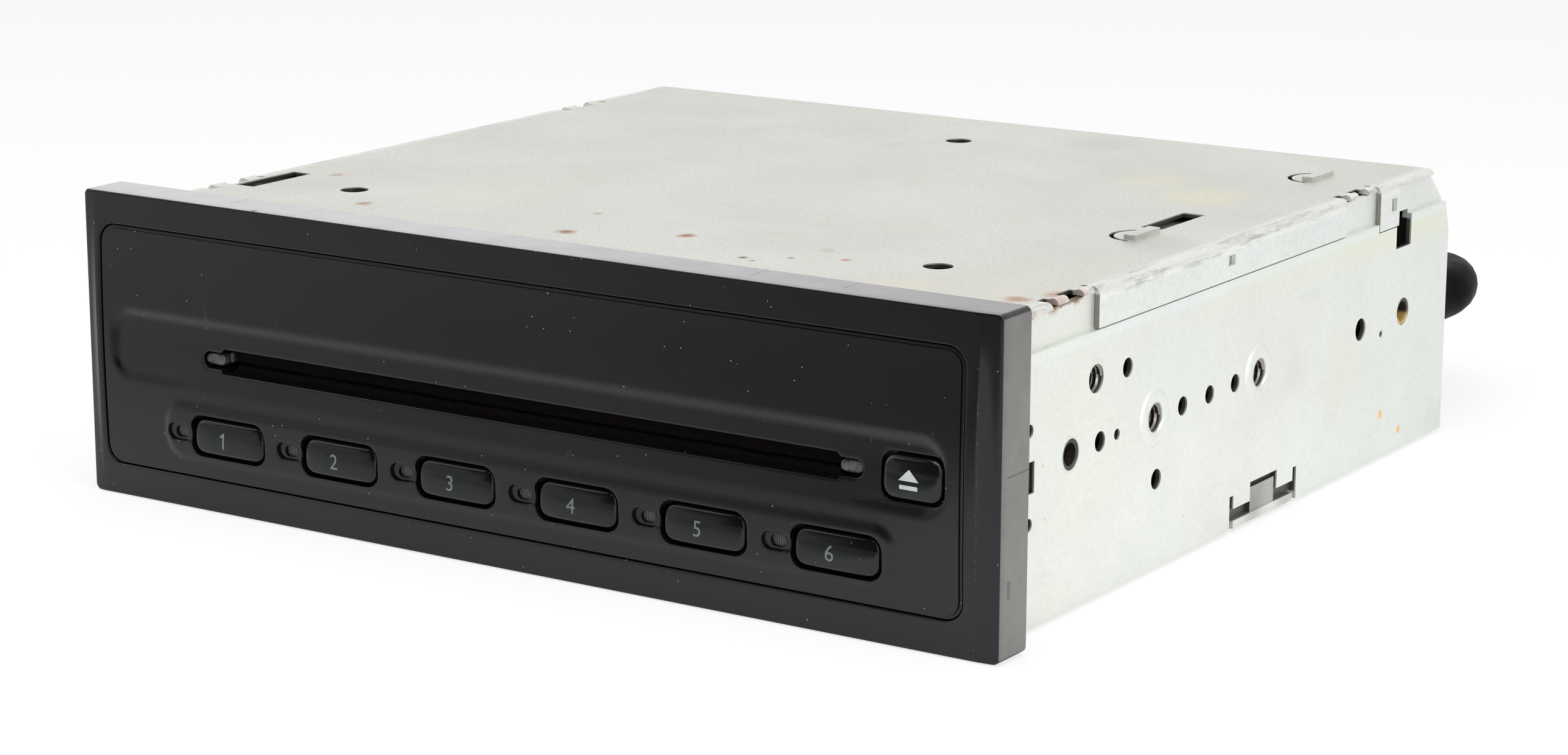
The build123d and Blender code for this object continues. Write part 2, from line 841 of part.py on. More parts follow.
def top_cover():
    """Lid with bent side flanges, latch tabs, slots, lanced hooks and curled knuckles."""
    drop = case_top - tab_low
    outer = Pos(0, case_top - drop) * RectangleRounded(case_width, 2 * drop, bend_radius)
    inner = Pos(0, case_top - drop) * RectangleRounded(
        case_width - 2 * cover_sheet, 2 * drop - 2 * cover_sheet, bend_radius - cover_sheet
    )
    keep = Pos(0, case_top - drop / 2) * Rectangle(case_width, drop)
    lid = slab_y((outer - inner) & keep, case_front_y, rear_slope_y)
    below = lid_low - cover_gap
    for y0, y1, top in (
        (case_front_y - 1, flange_front_y, below),
        (flange_front_y - 1, flange_rear_y, flange_low),
        (flange_rear_y, tab_front_y, below),
        (tab_rear_y, rear_slope_y + 1, below),
    ):
        lid -= mirrored(block(half_case - 2 * bend_radius, half_case + 1, y0, y1, tab_low - 1, top))
    for y0, y1 in edge_cut_spans:
        lid -= mirrored(block(half_case - edge_cut, half_case + 1, y0, y1, tab_low - 1, case_top + 1))
        for y in (y0 + knuckle_front, y1 - knuckle_rear - knuckle_length):
            curl = rod_y(knuckle_radius, y, y + knuckle_length, half_case - joggle_step - wall / 2, lid_low)
            curl += block(
                half_case - edge_cut - 0.5, half_case - joggle_step - wall / 2, y, y + knuckle_length,
                lid_low, case_top,
            )
            curl &= block(0, case_width, y, y + knuckle_length, lid_low, case_top + 1)
            lid += mirrored(curl)
    cuts = Sketch()
    for x, y in cover_holes:
        cuts += Pos(x, y) * Circle(cover_hole)
    for x, y in (slot_left, slot_right):
        cuts += Pos(x, y) * Rectangle(cover_slot_width, cover_slot_length)
    for x, y in lance_centers:
        ring = Circle(lance_radius) - Circle(lance_radius - lance_cut)
        ring &= Pos(-lance_radius, 0) * Rectangle(2 * lance_radius, 2 * lance_radius)
        cuts += Pos(x, y) * ring
    lid -= slab_z(cuts, lid_low - 1, case_top + 1)
    for x, y in lance_centers:
        lid += block(
            x - lance_width / 2, x + lance_width / 2, y - lance_radius * lance_share,
            y + lance_radius * lance_share, case_top - lance_root, case_top + lance_rise,
        )
    window_z = (flange_low + case_top) / 2
    windows = (
        (*flange_window, window_z - flange_window_below, window_z + flange_window_above),
        (*tab_window, tab_low + tab_window_low, tab_low + tab_window_high),
    )
    for y0, y1, z0, z1 in windows:
        lid -= mirrored(block(inner_half, half_case + 1, y0, y1, z0, z1))
    return lid


def bottom_cover():
    """Floor plate with upturned edges, board posts, dimpled feet and a tongue at each side."""
    half = inner_half - floor_clearance
    top = case_bottom + cover_sheet
    rear = case_rear_y - wall - floor_clearance
    floor = block(-half, half, case_front_y + wall + floor_clearance, rear, case_bottom, top)
    flange_start = case_front_y + floor_flange_start
    floor += mirrored(block(half - cover_sheet, half, flange_start, rear, case_bottom, floor_flange_top))
    floor += block(-half, half, rear - cover_sheet, rear, case_bottom, rear_flange_top)
    for y in foot_rows:
        floor += mirrored(rod_z(foot_radius, 0, case_bottom + 0.1, foot_x, y))
    for y in post_rows:
        floor += mirrored(rod_z(board_post_radius, case_bottom, main_board_low, board_post_x, y))
    tongue_top = case_bottom + tongue_height
    tongue_front = notch_y - tongue_half
    tongue = block(half - 0.1, half_case, tongue_front, notch_y + tongue_half, case_bottom, tongue_top)
    tongue += block(
        half - 0.1, half_case - latch_tongue_inset, notch_y - latch_tongue_half, notch_y + latch_tongue_half,
        case_bottom, latch_tongue_top,
    )
    floor += mirrored(tongue)
    for x in rear_screw_x:
        floor -= rod_y(rear_screw_radius, rear - 3, rear + 1, x, rear_screw_z)
    return floor


def rear_screws():
    """Screws that hold the floor plate's rear edge to the rear wall."""
    screws = []
    for x in rear_screw_x:
        tip = case_rear_y - wall - cover_sheet - rear_screw_reach
        screw = rod_y(rear_screw_radius, tip, case_rear_y + 0.2, x, rear_screw_z)
        screw += rod_y(rear_head_radius, case_rear_y, case_rear_y + screw_head_reach, x, rear_screw_z)
        head_y = case_rear_y + screw_head_reach
        for across, along in ((recess_half_width, recess_arm), (recess_arm, recess_half_width)):
            cut = Pos(x, head_y, rear_screw_z) * Box(2 * across, 2 * recess_cut, 2 * along)
            screw -= cut
        screws.append(screw)
    return screws


def dampers():
    """Rubber cups on the inner faces of the side walls, which carry the mechanism's pins."""
    cups = []
    for y, z in (damper_front, damper_rear):
        cup = rod_x(damper_radius, deck_half + damper_gap, inner_half, y, z)
        cup += rod_x(damper_hole - nub_clearance, inner_half - 0.1, half_case - 0.2, y, z)
        cup -= rod_x(damper_pin, deck_half, deck_half + pin_length, y, z)
        cup -= rod_x(damper_bore, half_case - damper_bore_depth, half_case, y, z)
        cups.append(cup)
        cups.append(mirror(cup, Plane.YZ))
    return cups


def mechanism_deck():
    """Lower plate of the mechanism, hung in the dampers by four pins."""
    deck = block(-deck_half, deck_half, deck_front_y, deck_rear_y, deck_bottom, deck_top)
    for y, z in (damper_front, damper_rear):
        inner_face = deck_half - ear_sheet
        ear = block(inner_face, deck_half, y - ear_half, y + ear_half, deck_bottom, deck_flange_top)
        ear += rod_x(damper_pin, deck_half - 0.5, deck_half + pin_length, y, z)
        deck += mirrored(ear)
    for x, y in screw_places.values():
        deck -= rod_z(journal_radius + running_clearance, deck_bottom - 1, deck_top + 1, x, y)
    return deck


def upper_plate():
    """Upper plate of the mechanism, on the pillars, with the upper bearings of the lift screws."""
    plate = block(
        -deck_half, deck_half, deck_front_y + 6.0, deck_rear_y - 1.0,
        upper_plate_bottom, upper_plate_bottom + upper_plate_sheet,
    )
    high = upper_plate_bottom + upper_plate_sheet + 1
    for x, y in screw_places.values():
        plate -= rod_z(journal_radius + running_clearance, upper_plate_bottom - 1, high, x, y)
    return plate - rod_z(lift_shaft + shaft_clearance, upper_plate_bottom - 1, high, *lift_motor_place)


def frame_pillars():
    """Four round posts between the two plates, and the thicker post that the arm turns on."""
    posts = [rod_z(pillar_radius, deck_top, upper_plate_bottom, x, y) for x, y in pillar_places]
    post = rod_z(post_radius, deck_top, upper_plate_bottom, *pivot)
    post += rod_z(boss_radius, deck_top, arm_low - mesh_clearance, *pivot)
    return posts + [post]


def lift_screw(place):
    """Upright screw that lifts the trays, with its journals and the belt wheel on top."""
    x, y = place
    screw = rod_z(screw_radius, deck_top + mesh_clearance, upper_plate_bottom - mesh_clearance, x, y)
    screw += rod_z(journal_radius, deck_bottom, pulley_low + 0.5, x, y)
    return screw + belt_wheel(x, y)


def belt_wheel(x, y):
    """Flanged wheel for the lift belt."""
    rim = (pulley_height - belt_width) / 2 - running_clearance
    wheel = rod_z(pulley_radius, pulley_low, pulley_low + pulley_height, x, y)
    for z in (pulley_low, pulley_low + pulley_height - rim):
        wheel += rod_z(pulley_radius + belt_thickness + 0.3, z, z + rim, x, y)
    return wheel


def lift_motor():
    """Can motor that turns the lift belt."""
    x, y = lift_motor_place
    can = rod_z(lift_motor_radius, deck_top, lift_motor_top, x, y)
    neck_top = lift_motor_top + motor_neck_height
    can += rod_z(motor_neck_radius, lift_motor_top, neck_top, x, y)
    return can - rod_z(lift_shaft + running_clearance, lift_motor_top - motor_bore_depth, neck_top + 1, x, y)


def lift_motor_wheel():
    """Motor shaft with its belt wheel."""
    x, y = lift_motor_place
    return belt_wheel(x, y) + rod_z(lift_shaft, lift_motor_top - shaft_end_depth, pulley_low + 0.5, x, y)


def lift_belt():
    """One closed belt round the three screw wheels and the motor wheel."""
    places = list(screw_places.values()) + [lift_motor_place]
    inner_radius = pulley_radius + running_clearance
    loops = []
    for radius in (inner_radius + belt_thickness, inner_radius):
        circles = Sketch() + [Pos(x, y) * Circle(radius) for x, y in places]
        loops.append(make_hull(circles.edges()))
    middle = pulley_low + pulley_height / 2
    return slab_z(loops[0] - loops[1], middle - belt_width / 2, middle + belt_width / 2)


def disc_tray(low):
    """Open ring that holds one disc, with three ears on the lift screws."""
    toward_pivot = math.degrees(math.atan2(pivot[1] - disc_center_y, pivot[0]))
    sketch = Circle(tray_radius) - Circle(tray_eye)
    sketch -= Rot(0, 0, toward_pivot) * (Pos(tray_radius / 2 + 1, 0) * Rectangle(tray_radius + 2, tray_slot))
    for x, y in screw_places.values():
        reach = math.hypot(x, y - disc_center_y)
        turn = math.degrees(math.atan2(y - disc_center_y, x))
        start = tray_radius - 6.0
        sketch += Rot(0, 0, turn) * (Pos((start + reach) / 2, 0) * Rectangle(reach - start, ear_width))
        sketch += Rot(0, 0, turn) * (Pos(reach, 0) * Circle(ear_radius))
    for x, y in screw_places.values():
        sketch -= Pos(x, y - disc_center_y) * Circle(screw_radius + running_clearance)
    return slab_z(Pos(0, disc_center_y) * sketch, low, low + tray_thickness)


def tray_low(number):
    """Underside of a tray when the store is open for playing disc three."""
    if number < 3:
        return tray_play_low - (3 - number) * tray_pitch - tray_travel
    if number > 3:
        return tray_play_low + (number - 3) * tray_pitch + tray_travel
    return tray_play_low


def roller_brackets():
    """Two stands with the bearings of the feed roller, and the guide plate over it."""
    front = roller_y - bracket_front
    rear = roller_y + bracket_rear
    top = roller_z + bracket_rise
    stand = block(bracket_x, bracket_x + bracket_sheet, front, rear, deck_top, top)
    right = stand - rod_x(
        roller_shaft + running_clearance, bracket_x - 1, bracket_x + bracket_sheet + 1, roller_y, roller_z
    )
    left = mirror(stand, Plane.YZ)
    outer_x = bracket_x + bracket_pitch
    far_x = outer_x + bracket_sheet
    outer = block(-far_x, -outer_x, front, rear, deck_top, top)
    foot = block(-outer_x - 0.5, -bracket_x - 0.5, front, rear, deck_top, deck_top + bracket_foot)
    left += outer + foot
    left -= rod_x(roller_shaft + running_clearance, -far_x - 1, -bracket_x + 1, roller_y, roller_z)
    left -= rod_x(feed_shaft + running_clearance, -far_x - 1, -bracket_x + 1, *feed_motor_place())
    low = mid_z + disc_thickness
    guide = block(-bracket_x, bracket_x, roller_y - guide_front, rear, low, low + guide_plate)
    return [left, right, guide]


def feed_motor_place():
    """Axis of the feed motor, in front of and below the roller."""
    reach = gear_module * (roller_teeth + pinion_teeth) / 2 + mesh_clearance
    angle = math.radians(mesh_angle)
    return roller_y + reach * math.cos(angle), roller_z + reach * math.sin(angle)


def feed_roller():
    """Rubber sleeve, slimmer at the waist so that it touches only the rim of a disc."""
    profile = make_face(
        Polyline(
            (-roller_half, roller_shaft), (-roller_half, roller_radius), (0, roller_waist),
            (roller_half, roller_radius), (roller_half, roller_shaft), close=True,
        )
    )
    return Pos(0, roller_y, roller_z) * revolve(profile, Axis.X)


def roller_shaft_bar():
    """Steel shaft of the feed roller."""
    left = bracket_x + bracket_pitch + shaft_end
    return rod_x(roller_shaft, -left, bracket_x + bracket_sheet + shaft_end, roller_y, roller_z)


def roller_gear():
    """Gear on the roller's shaft, between the two left stands."""
    outline = spur_gear(gear_module, roller_teeth) - Circle(roller_shaft)
    middle = -bracket_x - bracket_sheet - (bracket_pitch - bracket_sheet) / 2
    return slab_x(Pos(roller_y, roller_z) * outline, middle - gear_width / 2, middle + gear_width / 2)


def feed_pinion():
    """Pinion of the feed motor, with its shaft."""
    y, z = feed_motor_place()
    outline = spur_gear(gear_module, pinion_teeth, phase=180.0 / pinion_teeth)
    middle = -bracket_x - bracket_sheet - (bracket_pitch - bracket_sheet) / 2
    pinion = slab_x(Pos(y, z) * outline, middle - gear_width / 2, middle + gear_width / 2)
    outer_x = bracket_x + bracket_pitch + bracket_sheet
    return pinion + rod_x(feed_shaft, -outer_x - feed_motor_length + 2.0, -bracket_x - 0.3, y, z)


def feed_motor():
    """Small can motor on the outer left stand."""
    y, z = feed_motor_place()
    outer_x = bracket_x + bracket_pitch + bracket_sheet
    can = rod_x(feed_motor_radius, -outer_x - feed_motor_length, -outer_x, y, z)
    bore_end = -outer_x - feed_motor_length + 1.5
    return can - rod_x(feed_shaft + running_clearance, bore_end, -outer_x + 1, y, z)


def play_arm():
    """Swinging channel that carries the spindle, the pickup and the clamp, with its gear on top."""
    x, y = pivot
    hinge_y = y - clamp_hinge_back
    outline = Pos(x, (spindle_y + y) / 2) * Rectangle(2 * arm_half, y - spindle_y)
    outline += Pos(x, spindle_y) * Circle(arm_half)
    arm = slab_z(outline, arm_low, arm_low + arm_sheet)
    arm += rod_z(boss_radius, arm_low, boss_top, x, y)
    rail_start = spindle_y + post_near
    for side in (1, -1):
        near = x + side * (arm_half - arm_sheet)
        far = x + side * arm_half
        arm += block(min(near, far), max(near, far), rail_start, y - clamp_nose, arm_low, arm_rail_top)
        arm += block(
            min(near, far), max(near, far), hinge_y - clamp_ear_half, hinge_y + clamp_ear_half,
            arm_low, clamp_height + clamp_ear_rise,
        )
    for start in (post_near, post_far):
        arm += block(
            x - arm_half, x + arm_half, spindle_y + start, spindle_y + start + post_width,
            arm_low, rod_height + post_rise,
        )
    web = y - boss_radius
    arm += block(x - arm_half, x + arm_half, web - 1.5 * arm_sheet, web + arm_sheet, arm_low, arm_rail_top)
    arm += rod_x(rod_radius, x - arm_half, x + arm_half, hinge_y, clamp_height)
    gear = spur_gear(arm_gear_module, arm_gear_teeth)
    arm += slab_z(Pos(x, y) * gear, boss_top - arm_gear_width, boss_top)
    arm -= rod_z(post_radius + running_clearance, arm_low - 1, boss_top + 1, x, y)
    near = spindle_y + post_near + rod_end
    far = spindle_y + post_far + post_width
    arm -= rod_y(rod_radius, near, far - rod_end, x + rod_offset, rod_height)
    arm -= rod_y(rod_radius + running_clearance, near, far + 1, x - rod_offset, rod_height)
    return arm


def arm_motor():
    """Can motor behind the pivot, on the deck."""
    x, y = arm_motor_place()
    can = rod_z(arm_motor_radius, deck_top, arm_motor_top, x, y)
    bore_low = arm_motor_top - motor_bore_depth
    return can - rod_z(rod_radius + running_clearance, bore_low, arm_motor_top + 1, x, y)


def arm_motor_place():
    """Axis of the arm motor."""
    reach = arm_gear_module * (arm_gear_teeth + arm_pinion_teeth) / 2 + mesh_clearance
    return pivot[0], pivot[1] + reach


def arm_pinion():
    """Pinion of the arm motor, with its shaft."""
    x, y = arm_motor_place()
    outline = spur_gear(arm_gear_module, arm_pinion_teeth, phase=90.0 + 180.0 / arm_pinion_teeth)
    pinion = slab_z(Pos(x, y) * outline, boss_top - arm_gear_width, boss_top)
    return pinion + rod_z(rod_radius, arm_motor_top - shaft_end_depth, boss_top, x, y)


def spindle_motor():
    """Flat motor at the head of the arm."""
    x = pivot[0]
    can = rod_z(spindle_motor_radius, arm_low + arm_sheet, spindle_motor_top, x, spindle_y)
    bore_low = arm_low + arm_sheet + spindle_floor
    return can - rod_z(rod_radius + running_clearance, bore_low, spindle_motor_top + 1, x, spindle_y)


def turntable():
    """Disc seat with its centring hub and shaft."""
    x = pivot[0]
    low = spindle_motor_top + turntable_gap
    table = rod_z(turntable_radius, low, turntable_top - hub_height, x, spindle_y)
    hub = Pos(x, spindle_y, turntable_top - hub_height / 2) * Cone(hub_radius, hub_radius - 0.8, hub_height)
    shaft_low = arm_low + arm_sheet + spindle_floor + puck_gap
    return table + hub + rod_z(rod_radius, shaft_low, low + 0.5, x, spindle_y)


def pickup_sled():
    """Block with the lens that slides on the rod and is moved by the screw."""
    x = pivot[0]
    y = spindle_y + sled_start
    half = sled_length / 2
    sled = block(x - sled_half_width, x + sled_half_width, y - half, y + half, sled_low, sled_high)
    for side in (1, -1):
        sled -= rod_y(
            rod_radius + running_clearance, y - half - 1, y + half + 1, x + side * rod_offset, rod_height
        )
    return sled + rod_z(lens_barrel, sled_high - lens_rise, sled_high + lens_rise, x, y)


def sled_guide_rod():
    """Steel rod that the sled slides on."""
    near = spindle_y + post_near + rod_end
    far = spindle_y + post_far + post_width - rod_end
    return rod_y(rod_radius, near, far, pivot[0] + rod_offset, rod_height)


def sled_screw():
    """Lead screw of the sled."""
    x = pivot[0] - rod_offset
    near = spindle_y + post_near + rod_end + mesh_clearance
    return rod_y(rod_radius, near, spindle_y + post_far + post_width + screw_overrun, x, rod_height)


def sled_motor():
    """Motor at the end of the sled's screw."""
    x = pivot[0] - rod_offset
    start = spindle_y + post_far + post_width
    can = rod_y(sled_motor_radius, start, start + sled_motor_length, x, rod_height)
    bore_end = start + screw_overrun + rod_end
    return can - rod_y(rod_radius + running_clearance, start - 1, bore_end, x, rod_height)


def clamp_arm():
    """Lever over the disc, hinged on the arm, that carries the clamping disc."""
    x, y = pivot
    hinge_y = y - clamp_hinge_back
    low = clamp_height - clamp_sheet / 2
    rear = hinge_y + clamp_nose
    outline = Pos(x, (spindle_y + rear) / 2) * Rectangle(2 * clamp_half_width, rear - spindle_y)
    outline += Pos(x, spindle_y) * Circle(clamp_half_width + clamp_nose)
    lever = slab_z(outline, low, low + clamp_sheet)
    eye = arm_half - arm_sheet - clamp_side_gap
    lever += rod_x(rod_radius + clamp_tube_wall, x - eye, x + eye, hinge_y, clamp_height)
    lever -= rod_x(rod_radius + running_clearance, x - arm_half, x + arm_half, hinge_y, clamp_height)
    return lever - rod_z(journal_radius + running_clearance, low - 1, low + 3, x, spindle_y)


def clamping_disc():
    """Free disc under the lever, on a stud with a head."""
    x = pivot[0]
    low = clamp_height - clamp_sheet / 2
    head_low = low + clamp_sheet + puck_gap
    puck = rod_z(puck_radius, low - puck_gap - puck_drop, low - puck_gap, x, spindle_y)
    puck += rod_z(journal_radius, low - 2 * puck_gap, head_low + puck_gap, x, spindle_y)
    return puck + rod_z(stud_head_radius, head_low, head_low + stud_head_height, x, spindle_y)


def main_board():
    """Printed board on the posts of the floor plate."""
    return block(
        -main_board_half, main_board_half, main_board_front_y, main_board_rear_y,
        main_board_low, main_board_low + board_thickness,
    )


def board_parts():
    """Chips, coils and sockets on the main board, as separate solids."""
    top = main_board_low + board_thickness
    parts = []
    for x, y, width, length, height in board_part_list:
        parts.append(block(x - width / 2, x + width / 2, y - length / 2, y + length / 2, top, top + height))
    for index in range(can_count):
        parts.append(rod_z(can_radius, top, top + can_height, can_x + index * can_pitch, can_y))
    return parts


def flat_cable():
    """Flat ribbon from the switch board down to the main board."""
    back = switch_board_y + board_thickness
    top = main_board_low + board_thickness
    low = ribbon_drop
    side = make_face(
        Polyline(
            (back, ribbon_top), (back + ribbon_sheet, ribbon_top), (back + ribbon_sheet, low + ribbon_sheet),
            (main_board_front_y - ribbon_bend, low + ribbon_sheet),
            (main_board_front_y - 2 * ribbon_sheet, top + ribbon_sheet),
            (main_board_front_y + ribbon_lap, top + ribbon_sheet), (main_board_front_y + ribbon_lap, top),
            (main_board_front_y - ribbon_sheet, top), (main_board_front_y - ribbon_bend + ribbon_sheet, low),
            (back, low), close=True,
        )
    )
    return slab_x(side, ribbon_x - ribbon_width / 2, ribbon_x + ribbon_width / 2)


def harness_grommet():
    """Moulded bush in the rear wall that the harness leaves through."""
    x, z = harness_exit
    bush = rod_y(grommet_hole, case_rear_y - wall, case_rear_y, x, z)
    bush += rod_y(grommet_flange, case_rear_y, case_rear_y + grommet_lip, x, z)
    bush += rod_y(grommet_flange, case_rear_y - wall - grommet_lip, case_rear_y - wall, x, z)
    return bush


def harness_points():
    """Route of the taped harness, from the bush round to the left and down to the floor."""
    x, z = harness_exit
    start = case_rear_y + grommet_lip
    return [
        (x, start, z),
        (x, start + 10.0, z),
        (x + 1.6, start + 21.5, z + 0.7),
        (x - 3.4, start + 31.6, z + 0.7),
        (x - 14.6, start + 36.3, z - 0.9),
        (x - 27.4, start + 36.0, z - 4.2),
        (x - 40.0, start + 33.6, z - 8.3),
        (x - 52.6, start + 30.8, z - 12.3),
        (x - 65.6, start + 29.1, z - 15.5),
        (x - 79.2, start + 29.9, z - 16.7),
        (x - 92.8, start + 32.4, z - 16.5),
        (x - 106.0, start + 33.4, z - 15.6),
    ]


def harness_cable():
    """Round taped bundle along its route, with arcs as large as the runs allow."""
    points = harness_points()
    radii = []
    for before, corner, after in zip(points, points[1:], points[2:]):
        first = Vector(*corner) - Vector(*before)
        second = Vector(*after) - Vector(*corner)
        turn = math.radians(first.get_angle(second))
        radii.append(0.45 * min(first.length, second.length) / math.tan(turn / 2))
    path = FilletPolyline(*points, radius=radii)
    plane = Plane(origin=points[0], z_dir=(0, 1, 0))
    tube = sweep(plane * Circle(harness_radius), path=path)
    print("harness radii", [round(radius, 1) for radius in radii])
    print("harness length", round(path.length, 1))
    print("harness volume ratio", round(tube.volume / (math.pi * harness_radius ** 2 * path.length), 4))
    return tube


def harness_connector():
    """Plug housing on the end of the harness, lying on the floor."""
    width, length, height = connector_size
    x, y, z = harness_points()[-1]
    before = harness_points()[-2]
    heading = math.degrees(math.atan2(y - before[1], x - before[0]))
    housing = Pos(length / 2, 0, 0) * Box(length, width, height)
    housing += Pos(length / 2, 0, height / 2) * Box(latch_length, latch_width, 2 * latch_height)
    for row in (-1, 1):
        for index in range(contact_count):
            across = (index - (contact_count - 1) / 2) * contact_pitch
            cavity = Box(2 * contact_depth, contact_size, contact_size)
            housing -= Pos(length, across, row * contact_pitch / 2) * cavity
    return Pos(x, y, height / 2) * (Rot(0, 0, heading) * housing)


def save(name, shape):
    """Moves a piece to the object's origin and writes it, a list of solids as one group."""
    pieces = shape if isinstance(shape, list) else [shape]
    solids = []
    for piece in pieces:
        for solid in piece.solids():
            solids.append(Pos(0, shift_y, 0) * solid)
    whole = solids[0] if len(solids) == 1 else Compound(solids)
    export_step(whole, "parts/" + name + ".step")


def main():
    """Builds every piece and writes its file."""
    save("front_bezel", front_bezel())
    save("front_panel", front_panel())
    save("slot_felts", slot_felts())
    save("slot_light_guides", slot_light_guides())
    for index in range(button_count):
        button = push_button(button_width, button_height, button_x(index), button_z)
        save(f"preset_button_{index + 1}", button)
    save("eject_button", push_button(eject_width, eject_height, eject_center_x, mid_z))
    save("indicator_lenses", indicator_lenses())
    save("switch_board", switch_board())
    save("switch_board_parts", switch_board_parts())
    save("front_carrier", front_carrier())
    save("front_screws", front_screws())
    save("slot_shutter", slot_shutter())
    save("main_chassis", main_chassis())
    save("top_cover", top_cover())
    save("bottom_cover", bottom_cover())
    save("rear_screws", rear_screws())
    save("dampers", dampers())
    save("mechanism_deck", mechanism_deck())
    save("upper_plate", upper_plate())
    save("frame_pillars", frame_pillars())
    for name, place in screw_places.items():
        save("lift_screw_" + name, lift_screw(place))
    save("lift_motor", lift_motor())
    save("lift_motor_wheel", lift_motor_wheel())
    save("lift_belt", lift_belt())
    for number in range(1, button_count + 1):
        save(f"disc_tray_{number}", disc_tray(tray_low(number)))
    save("roller_brackets", roller_brackets())
    save("feed_roller", feed_roller())
    save("roller_shaft", roller_shaft_bar())
    save("roller_gear", roller_gear())
    save("feed_pinion", feed_pinion())
    save("feed_motor", feed_motor())
    save("play_arm", play_arm())
    save("arm_motor", arm_motor())
    save("arm_pinion", arm_pinion())
    save("spindle_motor", spindle_motor())
    save("turntable", turntable())
    save("pickup_sled", pickup_sled())
    save("sled_guide_rod", sled_guide_rod())
    save("sled_screw", sled_screw())
    save("sled_motor", sled_motor())
    save("clamp_arm", clamp_arm())
    save("clamping_disc", clamping_disc())
    save("main_board", main_board())
    save("board_parts", board_parts())
    save("flat_cable", flat_cable())
    save("harness_grommet", harness_grommet())
    save("harness_cable", harness_cable())
    save("harness_connector", harness_connector())


main()
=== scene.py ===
"""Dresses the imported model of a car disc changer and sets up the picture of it."""

import json
import logging
import math
from dataclasses import dataclass, field
from enum import Enum, IntEnum
from functools import cache
from typing import Callable, Iterable, Sequence

import bmesh
import bpy
from bpy.types import ID, Material, Node, NodeSocket, NodeTree, Object
from mathutils import Matrix, Vector
from mathutils import noise as field_noise
from mathutils.geometry import delaunay_2d_cdt


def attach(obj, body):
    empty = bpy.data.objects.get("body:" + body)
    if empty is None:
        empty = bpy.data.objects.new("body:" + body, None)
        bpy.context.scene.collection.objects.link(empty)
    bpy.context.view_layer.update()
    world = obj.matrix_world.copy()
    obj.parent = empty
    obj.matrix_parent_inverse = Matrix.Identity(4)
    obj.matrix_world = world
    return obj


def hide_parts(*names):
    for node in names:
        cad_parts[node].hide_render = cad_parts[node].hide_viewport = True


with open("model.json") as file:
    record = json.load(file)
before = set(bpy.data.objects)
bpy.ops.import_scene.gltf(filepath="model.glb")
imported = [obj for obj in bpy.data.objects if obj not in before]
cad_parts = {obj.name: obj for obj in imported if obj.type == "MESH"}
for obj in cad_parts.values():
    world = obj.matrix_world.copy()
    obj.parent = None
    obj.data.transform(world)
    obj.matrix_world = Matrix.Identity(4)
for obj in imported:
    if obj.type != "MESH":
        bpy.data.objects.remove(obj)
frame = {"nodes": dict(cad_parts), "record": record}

LOG = logging.getLogger("changer_scene")
MM = 0.001
SHIFT_Y = -88.6
IMAGE_WIDTH = 2576
Color = tuple[float, float, float]
Point = tuple[float, float]
Spot = tuple[float, float, float]
Height = Callable[[float, float], float]


def place(x: float, y: float, z: float) -> Vector:
    """Gives the point in metres of a drawing's point in millimetres, with Y behind the bezel's face."""
    return Vector((x * MM, (y + SHIFT_Y) * MM, z * MM))


def smooth_step(value: float) -> float:
    """Eases a value, held between 0 and 1, from 0 to 1."""
    value = min(max(value, 0.0), 1.0)
    return value * value * (3.0 - 2.0 * value)


def lowered(height: Height, drop: float) -> Height:
    """Gives a height function that lies deeper by a drop."""
    return lambda x, z: height(x, z) + drop


def tinted(colour: Color, factor: float) -> Color:
    """Gives a colour that is darker or lighter by a factor."""
    return tuple(min(1.0, value * factor) for value in colour)


@dataclass(frozen=True)
class Front:
    """Sizes of the plastic front, in millimetres."""

    width: float = 188.0
    height: float = 55.0
    corner: float = 1.2
    mid_z: float = 27.5
    bulge: float = 0.55
    pad_x: float = -0.8
    pad_half: float = 90.8
    pad_rise_half: float = 23.6
    pad_mid_z: float = 27.9
    pad_end: float = 2.3
    pad_edge: float = 0.1
    panel_x: float = -1.35
    panel_width: float = 177.7
    panel_height: float = 43.2
    panel_corner: float = 3.2
    panel_gap: float = 0.2
    panel_depth: float = 1.6
    slot_x: float = 1.2
    slot_width: float = 127.6
    slot_height: float = 4.3
    slot_corner: float = 0.6
    slot_rim: float = 0.3
    recess: float = 0.7
    row_rise: float = 0.38
    frame_lean: float = 0.08
    button_pitch: float = 25.2
    button_row_x: float = 1.8
    button_z: float = 13.7
    button_width: float = 16.0
    button_height: float = 6.5
    button_gap: float = 0.5
    button_count: int = 6
    eject_x: float = 78.5
    eject_width: float = 10.8
    eject_height: float = 7.0
    lens_offset: float = 11.1

    def pad(self, z: float) -> float:
        """Gives the depth of the convex pad at a height.

        Args:
            z: Height over the floor.

        Returns:
            Distance behind the bezel's face, below zero where the pad stands proud.
        """
        radius = (self.pad_rise_half**2 + self.bulge**2) / (2.0 * self.bulge)
        rise = math.sqrt(radius**2 - (z - self.pad_mid_z) ** 2) - radius + self.bulge
        return -(rise + math.hypot(rise, self.pad_edge)) / 2.0

    def button_x(self, index: int) -> float:
        """Gives the middle of a numbered button, of which the first has index 0."""
        return self.button_row_x + (index - (self.button_count - 1) / 2) * self.button_pitch


FRONT = Front()


class Sheet(Enum):
    """The zinc-plated pieces that have marks of their own."""

    WALL = "wall"
    LID = "lid"
    FLOOR = "floor"
    PLAIN = "plain"


class Ease(Enum):
    """The ways in which a mask rises from one value to the next."""

    STRAIGHT = "LINEAR"
    SMOOTH = "SMOOTHSTEP"


class Side(IntEnum):
    """The sides of the object, each with its sign along X."""

    RIGHT = 1
    LEFT = -1


class Strip(IntEnum):
    """The strips of felt, each with its sign along Z."""

    UPPER = 1
    LOWER = -1


